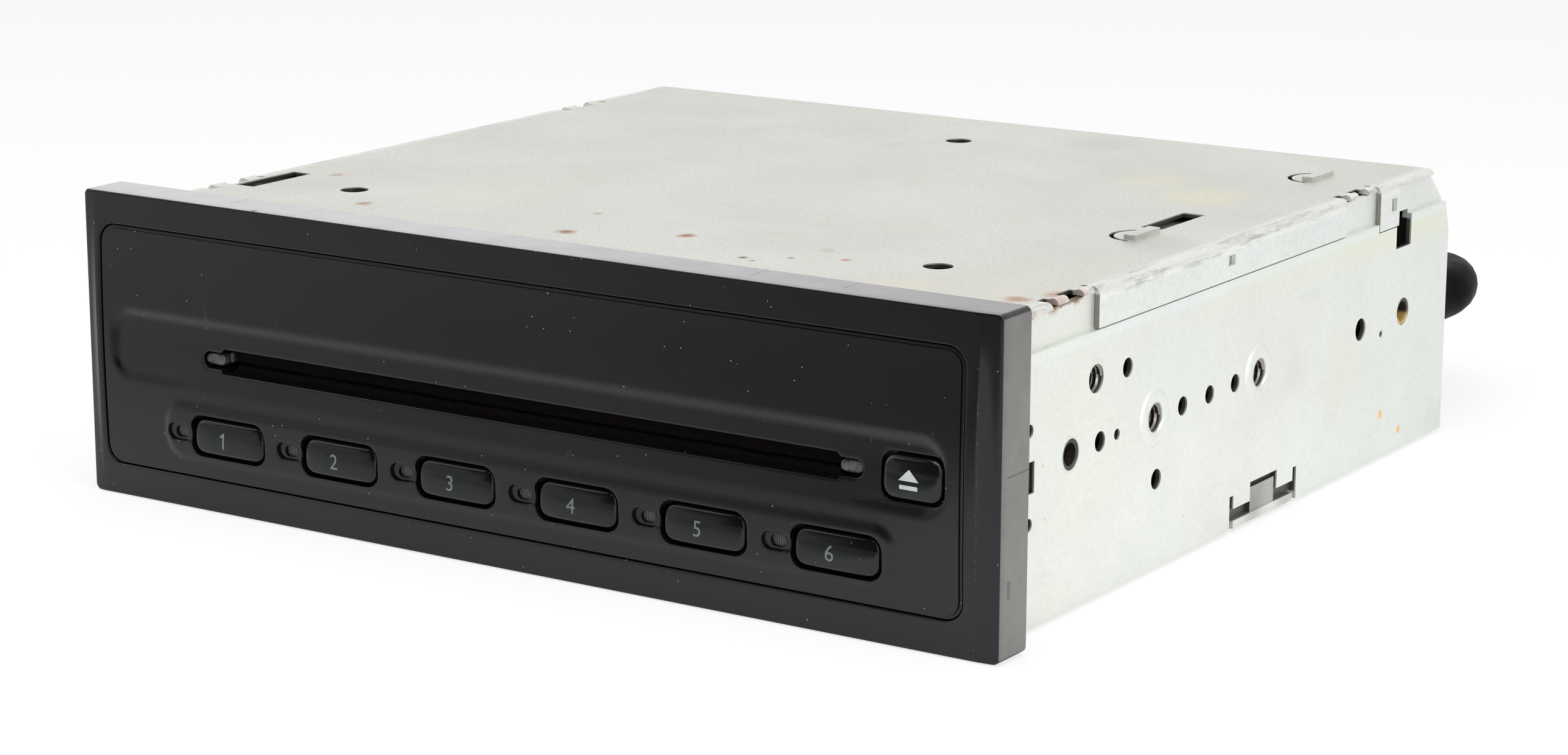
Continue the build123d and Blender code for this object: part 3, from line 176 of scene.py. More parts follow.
RUST = (0.33, 0.11, 0.015)
SOOT = (0.08, 0.07, 0.05)
AMBER = (0.85, 0.45, 0.08)
YELLOWED = (0.7, 0.66, 0.38)
TAB_GREY = (0.3, 0.29, 0.26)
# Each stain has its place in the drawing, its radius in millimetres, its strength and its colour.
STAINS = {
    Sheet.LID: (
        ((-53.9, 28.6, 52.0), 3.0, 0.7, RUST), ((-76.4, 47.9, 52.0), 3.0, 0.5, RUST),
        ((-8.5, 27.8, 52.0), 3.6, 0.95, RUST), ((10.5, 36.8, 52.0), 3.2, 0.95, RUST),
        ((-8.5, 27.8, 52.0), 1.5, 0.8, SOOT), ((10.5, 36.8, 52.0), 1.3, 0.8, SOOT),
        ((-13.9, 44.2, 52.0), 1.9, 0.5, RUST), ((44.0, 34.4, 52.0), 1.9, 0.8, RUST),
        ((28.9, 26.6, 52.0), 1.7, 0.9, SOOT), ((35.7, 30.6, 52.0), 1.1, 0.9, SOOT),
        ((31.6, 25.3, 52.0), 1.0, 0.8, SOOT), ((37.2, 39.6, 52.0), 3.0, 0.5, (0.4, 0.38, 0.3)),
        ((83.0, 23.5, 52.0), 4.4, 0.7, RUST), ((86.5, 30.0, 52.0), 5.0, 0.6, RUST),
        ((66.0, 118.0, 52.0), 17.0, 0.3, YELLOWED), ((52.0, 128.0, 52.0), 14.0, 0.25, YELLOWED),
        ((-9.0, 133.0, 52.0), 8.0, 0.35, (0.5, 0.44, 0.4)),
        ((23.0, 157.0, 52.0), 16.0, 0.4, (0.44, 0.42, 0.44)),
        ((28.0, 86.0, 52.0), 34.0, 0.22, (0.66, 0.69, 0.7)),
        ((80.0, 76.0, 52.0), 13.0, 0.4, (0.42, 0.41, 0.4)),
        ((-40.0, 50.0, 52.0), 24.0, 0.3, (0.64, 0.62, 0.5)),
        ((-72.0, 38.0, 52.0), 18.0, 0.3, (0.5, 0.5, 0.47)),
        ((61.7, 21.0, 52.0), 13.0, 0.35, (0.66, 0.58, 0.45)), ((88.4, 18.0, 51.4), 3.0, 0.8, RUST),
        ((88.4, 27.0, 51.4), 4.0, 0.85, RUST), ((88.4, 35.0, 51.2), 3.0, 0.8, RUST),
    ),
    Sheet.WALL: (
        ((89.0, 148.5, 8.7), 1.5, 0.95, AMBER), ((89.0, 156.8, 4.2), 1.5, 0.95, AMBER),
        ((88.4, 19.0, 51.5), 2.2, 0.9, RUST), ((88.4, 26.0, 51.3), 3.2, 0.9, RUST),
        ((88.4, 33.0, 51.5), 2.6, 0.9, RUST), ((89.0, 147.4, 24.2), 1.5, 0.5, (0.5, 0.5, 0.2)),
        ((89.0, 30.6, 26.3), 4.6, 0.6, (0.2, 0.11, 0.06)),
        ((89.0, 112.0, 24.0), 9.0, 0.16, (0.5, 0.48, 0.44)),
        ((89.0, 130.0, 20.0), 16.0, 0.25, (0.74, 0.72, 0.56)),
    ),
    Sheet.FLOOR: (((89.0, 97.0, 3.0), 9.0, 0.5, TAB_GREY), ((89.0, 110.0, 3.0), 9.0, 0.5, TAB_GREY)),
}


@dataclass(frozen=True)
class Pill:
    """A rectangle with round corners on the front, in millimetres, and its own rounding if it is a hole."""

    x: float
    z: float
    width: float
    height: float
    corner: float
    rim: float = 0.0

    def distance(self, x: float, z: float) -> float:
        """Measures how far a point lies outside the outline.

        Args:
            x: The point's place to the right.
            z: The point's height.

        Returns:
            The distance, below zero inside.
        """
        dx = abs(x - self.x) - self.width / 2 + self.corner
        dz = abs(z - self.z) - self.height / 2 + self.corner
        return math.hypot(max(dx, 0.0), max(dz, 0.0)) + min(max(dx, dz), 0.0) - self.corner

    def loop(self, grow: float = 0.0, step: float = 1.2, arc: int = 7) -> list[Point]:
        """Lists points round the outline, always the same number for the same outline.

        Args:
            grow: How far outside the outline the points lie.
            step: Greatest distance between points on the straight runs.
            arc: Number of steps round a corner.

        Returns:
            The points, anticlockwise as seen from the front.
        """
        least, near = 0.01, 1e-6
        half_w, half_h = self.width / 2 - self.corner, self.height / 2 - self.corner
        radius = max(self.corner + grow, least)
        run_w, run_h = (max(1, math.ceil(2 * half / step)) for half in (half_w, half_h))
        corners = ((1, -1, -90.0, run_h), (1, 1, 0.0, run_w), (-1, 1, 90.0, run_h), (-1, -1, 180.0, run_w))

        def spot(sx: int, sz: int, degrees: float) -> Point:
            """Gives the point at an angle on the arc of the corner with these signs."""
            right, up = (radius * turned(math.radians(degrees)) for turned in (math.cos, math.sin))
            return self.x + sx * half_w + right, self.z + sz * half_h + up

        points = []
        for index, (sx, sz, start, run) in enumerate(corners):
            points += [spot(sx, sz, start + 90.0 * turn / arc) for turn in range(arc + 1)]
            first, end = points[-1], spot(*corners[(index + 1) % 4][:3])
            if math.dist(first, end) > near:
                for share in (part / run for part in range(1, run)):
                    points.append(tuple(a + (b - a) * share for a, b in zip(first, end)))
            else:
                points.pop()
        return points


@dataclass(frozen=True)
class SlotOutline(Pill):
    """The disc slot with its chamfered ends, and the lower openings of the light guides beside it."""

    end: float = 4.3
    end_height: float = 2.9
    chamfer: float = 0.6
    chamfer_share: float = 0.4
    lower_share: float = 0.3

    def distance(self, x: float, z: float) -> float:
        """Measures how far a point lies outside the outline, below zero inside."""
        wide = Pill(self.x, self.z, self.width + 2 * self.end, self.end_height, self.end_height / 2)
        return min(super().distance(x, z), wide.distance(x, z))

    def quarter(self, grow: float, last: float, step: float, arc: int) -> list[Point]:
        """Lists points round a quarter of the outline, from the side to the middle.

        Args:
            grow: How far outside the outline the points at the side lie.
            last: How far outside it the long edge lies.
            step: Greatest distance between points on the long edge.
            arc: Number of steps round the end.

        Returns:
            The points, right of and above the slot's middle.
        """
        radius, half = self.end_height / 2, self.width / 2
        points = []
        for turn in range(arc + 1):
            angle = math.radians(90.0 * turn / arc)
            out = radius + grow + (last - grow) * turn / arc
            points.append((half + self.end - radius + out * math.cos(angle), out * math.sin(angle)))
        points.append((half + last, radius + last))
        start = half - self.chamfer + self.chamfer_share * last
        runs = math.ceil(half / step)
        return points + [(start * (1.0 - part / runs), self.height / 2 + last) for part in range(runs)]

    def loop(self, grow: float = 0.0, step: float = 1.2, arc: int = 7) -> list[Point]:
        """Lists points round the outline, always the same number, with a sharper lower edge.

        Args:
            grow: How far outside the outline the points lie.
            step: Greatest distance between points on the straight runs.
            arc: Number of steps round a quarter of an end.

        Returns:
            The points, anticlockwise as seen from the front.
        """
        near = 0.005
        lower = self.quarter(grow, self.lower_share * grow, step, arc)
        quarters = {1: self.quarter(grow, grow, step, arc), -1: lower}
        clean = []
        for sx, sz, order in ((1, 1, 1), (-1, 1, -1), (-1, -1, 1), (1, -1, -1)):
            points = quarters[sz][::order]
            if sx > 0 > sz:
                points = points[:-1]
            for point in ((self.x + sx * px, self.z + sz * pz) for px, pz in points):
                if not clean or math.dist(point, clean[-1]) > near:
                    clean.append(point)
        if math.dist(clean[0], clean[-1]) < near:
            clean.pop()
        return clean


class Nodes:
    """A node tree, with short calls for the nodes used here."""

    def __init__(self, tree: NodeTree) -> None:
        """Keeps the tree."""
        self.tree = tree

    def node(self, kind: str, inputs: dict | None = None, **settings: object) -> Node:
        """Adds a node.

        Args:
            kind: The node's type without its first word.
            inputs: Values or sockets by input name or number.
            settings: Attributes of the node.

        Returns:
            The node.
        """
        node = self.tree.nodes.new("ShaderNode" + kind)
        for key, value in settings.items():
            setattr(node, key, value)
        for key, value in (inputs or {}).items():
            self.plug(node.inputs[key], value)
        return node

    def plug(self, socket: NodeSocket, value: object) -> None:
        """Links a socket to an input, or sets the input's value.

        Args:
            socket: The input.
            value: A socket, a number or numbers, with a colour's opacity left out.
        """
        if isinstance(value, NodeSocket):
            self.tree.links.new(value, socket)
        elif socket.type == "RGBA":
            socket.default_value = (*value, 1.0)
        else:
            socket.default_value = value

    def math(self, operation: str, a: object, b: object = 0.0, clamp: bool = False) -> NodeSocket:
        """Adds a sum of two values by its name, held between 0 and 1 if clamp is set."""
        return self.node("Math", {0: a, 1: b}, operation=operation, use_clamp=clamp).outputs[0]


class Graph(Nodes):
    """A material's node tree."""

    def __init__(self, name: str) -> None:
        """Makes a Principled material.

        Args:
            name: The material's name.
        """
        self.material = bpy.data.materials.new(name)
        self.material.use_nodes = True
        super().__init__(self.material.node_tree)
        self.shader = next(node for node in self.tree.nodes if node.type == "BSDF_PRINCIPLED")
        self.coords = self.tree.nodes.new("ShaderNodeTexCoord").outputs["Object"]

    def dress(self, **values: object) -> Material:
        """Sets the shader's inputs, with underscores for the spaces in their names.

        Args:
            values: Values or sockets by input name.

        Returns:
            The material.
        """
        for key, value in values.items():
            self.plug(self.shader.inputs[key.replace("_", " ")], value)
        return self.material

    def noise(
        self, scale: float, detail: float = 3.0, rough: float = 0.5, stretch: Spot | None = None,
        warp: float = 0.0,
    ) -> NodeSocket:
        """Adds a noise field.

        Args:
            scale: Features a metre.
            detail: Octaves.
            rough: Share kept from octave to octave.
            stretch: Factors along the three axes.
            warp: Distortion.

        Returns:
            The field's value.
        """
        vector = self.coords
        if stretch:
            vector = self.node("Mapping", {"Vector": vector, "Scale": stretch}).outputs[0]
        inputs = {"Vector": vector, "Scale": scale, "Detail": detail}
        inputs |= {"Roughness": rough, "Distortion": warp}
        return self.node("TexNoise", inputs).outputs["Fac"]

    def spots(self, scale: float, limit: float) -> NodeSocket:
        """Gives 1 near scattered points, of which there are so many a metre."""
        reach = self.node("TexVoronoi", {"Vector": self.coords, "Scale": scale}).outputs["Distance"]
        return self.math("LESS_THAN", reach, limit)

    def patches(self, scale: float, limit: float) -> NodeSocket:
        """Gives 1 where a soft noise field lies above a limit."""
        return self.math("GREATER_THAN", self.noise(scale, 2.0), limit)

    def ramp(self, value: object, *stops: tuple[float, object]) -> NodeSocket:
        """Maps a value through stops of grey or colour.

        Args:
            value: The socket to map.
            stops: Positions with a number or a colour.

        Returns:
            The colour socket.
        """
        node = self.node("ValToRGB", {"Fac": value})
        for element, (position, colour) in zip(node.color_ramp.elements, stops):
            element.position = position
            element.color = (*colour, 1.0) if isinstance(colour, tuple) else (colour, colour, colour, 1.0)
        return node.outputs["Color"]

    def times(self, first: object, *factors: object) -> NodeSocket:
        """Multiplies values.

        Args:
            first: The first value.
            factors: What it is multiplied by.

        Returns:
            The product.
        """
        for factor in factors:
            first = self.math("MULTIPLY", first, factor)
        return first

    def mix(self, share: object, below: object, above: object) -> NodeSocket:
        """Lays a share of one colour over another."""
        return self.node("Mix", {0: share, 6: below, 7: above}, data_type="RGBA").outputs[2]

    def bump(self, height: object, distance: float, strength: float) -> NodeSocket:
        """Turns a height, whose 1 is worth a distance in metres, into a normal."""
        return self.node("Bump", {"Height": height, "Distance": distance, "Strength": strength}).outputs[0]

    def axis(self, name: str) -> NodeSocket:
        """Gives one of the object's coordinates, X, Y or Z, in metres."""
        return self.node("SeparateXYZ", {0: self.coords}).outputs[name]

    def fade(
        self, value: object, start: float, end: float, first: float = 0.0, last: float = 1.0,
        ease: Ease = Ease.STRAIGHT,
    ) -> NodeSocket:
        """Maps a run from start to end to one from first to last, held at both ends."""
        inputs = {0: value, 1: start, 2: end, 3: first, 4: last}
        return self.node("MapRange", inputs, interpolation_type=ease.value).outputs[0]

    def band(self, value: object, low: float, high: float, soft: float) -> NodeSocket:
        """Gives 1 between two values, with soft ends of a width."""
        rise, fall = (self.fade(value, edge - soft, edge + soft, ease=Ease.SMOOTH) for edge in (low, high))
        return self.math("SUBTRACT", rise, fall, clamp=True)

    def blob(self, x: float, y: float, z: float, size: float) -> NodeSocket:
        """Gives a ragged spot round a drawing's point.

        Args:
            x: Place to the right, in millimetres.
            y: Distance behind the bezel's face.
            z: Height.
            size: Radius in millimetres.

        Returns:
            1 in the middle, 0 outside.
        """
        features, warp, core, brim = 1100.0, 0.8, 0.5, 1.15
        offset = self.node("VectorMath", {0: self.coords, 1: place(x, y, z)}, operation="SUBTRACT")
        reach = self.node("VectorMath", {0: offset.outputs[0]}, operation="LENGTH").outputs["Value"]
        ragged = self.math("ADD", reach, self.times(self.noise(features / size, 4.0, 0.65), warp * size * MM))
        return self.fade(ragged, size * MM * core, size * MM * brim, 1.0, 0.0, Ease.SMOOTH)


@dataclass(frozen=True)
class Plain:
    """A moulded or painted finish with slight mottling and grain."""

    name: str
    colour: Color
    rough: float
    scale: float
    spread: float

    def make(self) -> Material:
        """Makes the material.

        Returns:
            The material.
        """
        g = Graph(self.name)
        grain = g.noise(self.scale, 4.0, 0.6)
        dark, light = (tinted(self.colour, 1.0 + way * self.spread) for way in (-1, 1))
        return g.dress(
            Base_Color=g.ramp(grain, (0.3, dark), (0.7, light)),
            Roughness=g.ramp(grain, (0.2, self.rough - 0.08), (0.8, self.rough + 0.08)),
            Normal=g.bump(g.noise(self.scale * 6.0, 3.0, 0.6), 0.00003, 0.5),
        )


@dataclass(frozen=True)
class BareMetal:
    """A bare metal finish with fine tool marks."""

    name: str
    colour: Color
    rough: float

    def make(self) -> Material:
        """Makes the material.

        Returns:
            The material.
        """
        g = Graph(self.name)
        marks = g.noise(900.0, 4.0, 0.6, (1.0, 1.0, 6.0))
        stain = g.noise(60.0, 3.0, 0.6)
        return g.dress(
            Base_Color=g.ramp(stain, (0.35, tinted(self.colour, 0.8)), (0.65, self.colour)),
            Roughness=g.ramp(marks, (0.2, self.rough - 0.08), (0.8, self.rough + 0.12)),
            Normal=g.bump(marks, 0.00002, 0.4),
            Metallic=1.0,
        )


@dataclass(frozen=True)
class BlackPlastic:
    """The black plastic of the front, with dust, specks and hair scratches, mottled pale grey sides, and a
    pale top that is partly dust and partly a painted reflection.
    """

    name: str
    rough: float
    dust: float
    worn: bool
    grey: float = 0.0032
    speck: Color = (0.62, 0.6, 0.56)
    # Mottled pale grey laid over the sides.
    side_dust: Color = (0.19, 0.186, 0.172)
    # Pale top: partly dust, partly a painted reflection of the bright surroundings.
    top_dust: Color = (0.42, 0.395, 0.405)
    groove: Color = (0.02, 0.02, 0.02)
    scuff: Color = (0.2, 0.19, 0.17)
    chip: Color = (0.006, 0.006, 0.006)

    def make(self) -> Material:
        """Makes the material.

        Returns:
            The material.
        """
        g = Graph(self.name)
        haze = g.noise(28.0, 4.0, 0.6)
        dark, pale = (
            tuple(self.grey * part for part in parts) for parts in ((1.0, 1.03, 1.1), (1.35, 1.4, 1.5))
        )
        colour = g.mix(self.marks(g), g.ramp(haze, (0.3, dark), (0.7, pale)), self.speck)
        colour = self.lying_dust(g, self.standing_dust(g, colour))
        if self.worn:
            colour = self.wear(g, colour)
        return g.dress(
            Base_Color=colour,
            Roughness=g.ramp(haze, (0.25, self.rough - 0.04), (0.75, self.rough + 0.07)),
            Normal=g.bump(g.noise(5200.0, 2.0), 0.000012, 0.5),
            IOR=1.45,
            Specular_Tint=(0.9, 0.95, 1.0),
        )

    def marks(self, g: Graph) -> NodeSocket:
        """Gives the mask of specks, motes and hair scratches.

        Args:
            g: The material's nodes.

        Returns:
            1 where they lie.
        """
        specks = g.times(g.spots(520.0, 0.06), g.patches(150.0, 0.55))
        motes = g.times(g.spots(150.0, 0.022), g.patches(700.0, 0.45))
        marks = g.times(g.math("MAXIMUM", specks, motes), 0.5 * self.dust)
        hair = g.band(g.noise(46.0, 2.0, 0.5, (3.2, 1.0, 0.9), 1.2), 0.4985, 0.5015, 0.0008)
        return g.math("MAXIMUM", marks, g.times(hair, g.patches(21.0, 0.6), 0.02 * self.dust))

    def standing_dust(self, g: Graph, colour: object) -> NodeSocket:
        """Lays a mottled pale grey on the sides, a little weaker high up, and two moulding lines.

        Args:
            g: The material's nodes.
            colour: The colour so far.

        Returns:
            The colour with them.
        """
        high, back = g.axis("Z"), g.axis("Y")
        side = g.band(g.math("ABSOLUTE", g.axis("X")), (FRONT.width / 2 - 0.1) * MM, 1.0, 0.00005)
        # Pale grey over the sides, a little weaker high up.
        greyed = g.times(side, g.ramp(g.noise(90.0, 5.0, 0.7), (0.3, 0.65), (0.7, 0.9)))
        colour = g.mix(g.times(greyed, g.fade(high, 0.03, 0.055, 1.0, 0.84)), colour, self.side_dust)
        for low, above, front, rear in ((29.25, 29.6, 1.9, 9.0), (10.0, 13.0, 2.3, 3.4)):
            line = g.band(high, low * MM, above * MM, 0.0001)
            reach = g.band(back, (front + SHIFT_Y) * MM, (rear + SHIFT_Y) * MM, 0.0001)
            colour = g.mix(g.times(line, reach, side, 0.5), colour, self.groove)
        return colour

    def lying_dust(self, g: Graph, colour: object) -> NodeSocket:
        """Lays pale grey on the top, partly dust and partly a painted reflection of the bright surroundings,
        thinner to the right.

        Args:
            g: The material's nodes.
            colour: The colour so far.

        Returns:
            The colour with it.
        """
        cloud = g.ramp(g.noise(160.0, 4.0, 0.6), (0.3, 0.75), (0.7, 0.92))
        thinner = g.fade(g.axis("X"), -0.02, 0.09, 1.0, 0.42)
        top = g.band(g.axis("Z"), (FRONT.height - 0.07) * MM, 1.0, 0.00004)
        # Painted reflection mixed with dust on the flat top.
        return g.mix(g.times(cloud, thinner, top), colour, self.top_dust)

    def wear(self, g: Graph, colour: object) -> NodeSocket:
        """Adds the lines across the bezel's top, its chip and its scuffed ridge.

        Args:
            g: The material's nodes.
            colour: The colour so far.

        Returns:
            The colour with them.
        """
        across = g.axis("X")
        behind = g.band(g.axis("Y"), (3.4 + SHIFT_Y) * MM, 1.0, 0.0002)
        for x in (-62.7, -45.7, 46.0, 63.4):
            tick = g.band(across, (x - 0.12) * MM, (x + 0.12) * MM, 0.00005)
            colour = g.mix(g.times(tick, behind, 0.75), colour, self.groove)
        colour = g.mix(g.blob(-54.6, 0.6, 55.0, 1.3), colour, self.chip)
        ridge = g.band(across, 89.9 * MM, 90.1 * MM, 0.00005)
        ridge = g.times(ridge, g.band(g.axis("Z"), 0.012, 0.043, 0.004))
        scuffed = g.times(ridge, g.ramp(g.noise(2600.0, 3.0, 0.7), (0.5, 0.0), (0.7, 0.35)))
        return g.mix(scuffed, colour, self.scuff)


@dataclass(frozen=True)
class DamperRubber:
    """The damper rubber, amber low down at the rear, painted near black at the front and higher up at the
    rear as painted shade inside the holes it is seen through.
    """

    # Near black: painted shade where the rubber sits in holes.
    black: tuple[Color, Color] = ((0.006, 0.005, 0.004), (0.02, 0.012, 0.008))
    amber: tuple[Color, Color] = ((0.36, 0.22, 0.06), (0.55, 0.36, 0.13))

    def make(self) -> Material:
        """Makes the material.

        Returns:
            The material.
        """
        g = Graph("damper_rubber")
        rear = g.band(g.axis("Y"), 100 * MM + SHIFT_Y * MM, 1.0, 0.001)
        low = g.band(g.axis("Z"), -1.0, 26.2 * MM, 0.0005)
        grain = g.noise(900.0, 3.0, 0.6)
        pairs = (self.black, self.amber)
        black, amber = (g.ramp(grain, (0.3, dark), (0.7, light)) for dark, light in pairs)
        return g.dress(
            # Near black outside the low rear part: painted shade inside the holes.
            Base_Color=g.mix(g.times(rear, low), black, amber),
            Roughness=0.45,
            Normal=g.bump(grain, 0.00004, 0.5),
        )


@dataclass(frozen=True)
class SlotFelt:
    """The brown-black felt of the slot."""

    hollow: Color = (0.001, 0.0007, 0.0008)
    fibre: Color = (0.012, 0.0088, 0.0092)
    tuft: Color = (0.009, 0.0066, 0.007)

    def make(self) -> Material:
        """Makes the material.

        Returns:
            The material.
        """
        g = Graph("slot_felt")
        fibre = g.noise(4200.0, 4.0, 0.75, (1.0, 1.0, 2.0), 0.6)
        tufts = g.ramp(g.noise(700.0, 3.0, 0.6), (0.45, 0.0), (0.75, 0.4))
        return g.dress(
            Base_Color=g.mix(tufts, g.ramp(fibre, (0.35, self.hollow), (0.7, self.fibre)), self.tuft),
            Roughness=0.95,
            IOR=1.08,
            Normal=g.bump(fibre, 0.00025, 0.9),
        )


@dataclass(frozen=True)
class ClearPlastic:
    """The slightly smoked clear plastic of the slot's ends."""

    dark: Color = (0.05, 0.047, 0.043)
    light: Color = (0.17, 0.165, 0.155)

    def make(self) -> Material:
        """Makes the material.

        Returns:
            The material.
        """
        g = Graph("clear_plastic")
        haze = g.noise(900.0, 3.0, 0.6)
        return g.dress(
            Base_Color=g.ramp(haze, (0.3, self.dark), (0.7, self.light)),
            Roughness=g.ramp(haze, (0.3, 0.05), (0.7, 0.16)),
            Transmission_Weight=0.4,
            IOR=1.49,
        )


@dataclass(frozen=True)
class RibbedLens:
    """The ribbed pale plastic of the indicator windows."""

    dark: Color = (0.025, 0.025, 0.024)
    light: Color = (0.13, 0.13, 0.122)

    def make(self) -> Material:
        """Makes the material.

        Returns:
            The material.
        """
        g = Graph("ribbed_lens")
        inputs = {"Vector": g.coords, "Scale": 900.0, "Distortion": 0.6}
        ribs = g.node("TexWave", inputs, bands_direction="X").outputs["Fac"]
        return g.dress(
            Base_Color=g.ramp(ribs, (0.2, self.dark), (0.8, self.light)),
            Roughness=0.25,
            Normal=g.bump(ribs, 0.0001, 0.8),
        )


@dataclass(frozen=True)
class HarnessTape:
    """The glossy wound tape of the harness."""

    dark: Color = (0.002, 0.002, 0.002)
    light: Color = (0.005, 0.0048, 0.0046)

    def make(self) -> Material:
        """Makes the material.

        Returns:
            The material.
        """
        g = Graph("harness_tape")
        folds = g.noise(240.0, 3.0, 0.6, warp=0.5)
        return g.dress(
            Base_Color=g.ramp(folds, (0.3, self.dark), (0.7, self.light)),
            Roughness=g.ramp(folds, (0.3, 0.3), (0.7, 0.5)),
            IOR=1.08,
            Normal=g.bump(folds, 0.0003, 0.25),
        )


@dataclass(frozen=True)
class Zinc:
    """Zinc-plated sheet with a fine speckle, stains, dark specks and some rust."""

    sheet: Sheet
    pale: Color = (0.75, 0.77, 0.73)
    dull: Color = (0.7, 0.72, 0.69)
    tint: Color = (0.73, 0.75, 0.62)
    coarse: float = 0.13
    grey: Color = (0.3, 0.31, 0.29)
    # Dark colour laid inside the case as painted shade.
    inside: Color = (0.02, 0.02, 0.018)

    def make(self) -> Material:
        """Makes the material.

        Returns:
            The material.
        """
        g = Graph("zinc_" + self.sheet.value)
        speckle = g.noise(1500.0, 5.0, 0.75)
        cloud = g.noise(34.0, 5.0, 0.62)
        patch = g.noise(11.0, 4.0, 0.6, (1.0, 0.6, 1.0))
        colour = g.ramp(cloud, (0.3, self.dull), (0.66, self.pale))
        colour = g.mix(g.ramp(patch, (0.5, 0.0), (0.74, 0.5)), colour, self.tint)
        pink = g.ramp(g.noise(19.0, 4.0, 0.6), (0.56, 0.0), (0.72, 0.3))
        colour = g.mix(pink, colour, (0.69, 0.63, 0.61))
        colour = g.mix(g.ramp(speckle, (0.34, self.coarse), (0.56, 0.0)), colour, self.grey)
        grit = g.ramp(g.noise(4200.0, 3.0, 0.7), (0.62, 0.0), (0.8, 0.35))
        colour = g.mix(grit, colour, (0.93, 0.94, 0.92))
        colour = g.mix(g.ramp(g.noise(260.0, 4.0, 0.65), (0.3, 0.22), (0.5, 0.0)), colour, self.dull)
        pits = g.times(g.spots(330.0, 0.06), g.patches(80.0, 0.6), 0.5)
        colour = g.mix(pits, colour, (0.1, 0.085, 0.06))
        for spot, size, strength, stain in STAINS.get(self.sheet, ()):
            colour = g.mix(g.times(g.blob(*spot, size), strength), colour, stain)
        if self.sheet in (Sheet.WALL, Sheet.FLOOR):
            colour = self.wall_marks(g, colour)
        if self.sheet is Sheet.LID:
            colour = self.lid_marks(g, colour, speckle)
        return g.dress(
            Base_Color=colour,
            Metallic=0.7,
            Roughness=g.ramp(cloud, (0.3, 0.5), (0.7, 0.36)),
            Normal=g.bump(speckle, 0.00003, 0.6),
        )

    def wall_marks(self, g: Graph, colour: object) -> NodeSocket:
        """Adds the side walls' long marks, with a pale blue line below the joggle that is a painted
        highlight, and darkens what lies inside the case as painted shade.

        Args:
            g: The material's nodes.
            colour: The colour so far.

        Returns:
            The colour with the marks.
        """
        high, back, side = g.axis("Z"), g.axis("Y"), g.math("ABSOLUTE", g.axis("X"))
        yellow = g.times(g.fade(back, -0.04, 0.06), 0.3)
        colour = g.mix(g.times(g.band(high, 0.0395, 0.0443, 0.0018), yellow), colour, (0.74, 0.76, 0.5))
        # Pale blue line below the joggle: a painted highlight.
        colour = g.mix(g.times(g.band(high, 0.0434, 0.0446, 0.0007), 0.32), colour, (0.76, 0.84, 0.88))
        ragged = g.math("ADD", high, g.times(g.noise(420.0, 4.0, 0.7), 0.0016))
        rust = g.times(g.band(ragged, 0.0514, 1.0, 0.0003), g.band(back, -1.0, -0.0535, 0.0004), 0.8)
        colour = g.mix(rust, colour, (0.12, 0.06, 0.03))
        smear = g.ramp(g.noise(70.0, 5.0, 0.7, (1.0, 0.5, 1.6)), (0.6, 0.0), (0.78, 0.3))
        colour = g.mix(smear, colour, (0.5, 0.5, 0.49))
        # Painted shade: darkens the walls' and floor's faces inside the case.
        masks = []
        for reach, low, top, rear in ((0.0887, 0.0018, 0.044, 0.0862), (0.0868, 0.0436, 0.0505, 0.079)):
            across, along = g.band(side, -1.0, reach, 0.0001), g.band(back, -0.0791, rear, 0.0001)
            masks.append(g.times(across, g.band(high, low, top, 0.0003), along))
        return g.mix(g.times(g.math("MAXIMUM", *masks), 0.88), colour, self.inside)

    def lid_marks(self, g: Graph, colour: object, speckle: object) -> NodeSocket:
        """Makes the cover's flanges as pale as the walls, lays a painted highlight and scuffs along the bend,
        and painted shade under the lid inside the case.

        Args:
            g: The material's nodes.
            colour: The colour so far.
            speckle: The fine speckle.

        Returns:
            The colour with the marks.
        """
        high, back, side = g.axis("Z"), g.axis("Y"), g.math("ABSOLUTE", g.axis("X"))
        low = g.band(high, -1.0, 0.0508, 0.0003)
        flange = g.ramp(g.noise(34.0, 4.0, 0.6), (0.3, (0.7, 0.73, 0.7)), (0.7, (0.78, 0.8, 0.77)))
        flange = g.mix(g.ramp(speckle, (0.34, 0.2), (0.56, 0.0)), flange, self.grey)
        colour = g.mix(low, colour, flange)
        bend = g.times(g.band(side, 0.0868, 1.0, 0.0012), g.band(high, 0.0498, 1.0, 0.0004))
        # Painted highlight along the bend.
        colour = g.mix(g.times(bend, 0.5), colour, (0.8, 0.81, 0.79))
        # Painted shade under the lid, inside the case.
        under = g.times(g.band(high, -1.0, 0.0518, 0.0001), g.band(side, -1.0, 0.0865, 0.0001), 0.93)
        colour = g.mix(under, colour, self.inside)
        for y in (39.0, 145.2):
            end = g.band(back, (y - 0.6 + SHIFT_Y) * MM, (y + 0.1 + SHIFT_Y) * MM, 0.0001)
            colour = g.mix(g.times(end, low, 0.8), colour, (0.12, 0.1, 0.08))
        scuff = g.ramp(g.noise(210.0, 6.0, 0.8, (3.0, 0.35, 3.0)), (0.5, 0.0), (0.62, 0.6))
        return g.mix(g.times(scuff, bend), colour, (0.32, 0.31, 0.285))


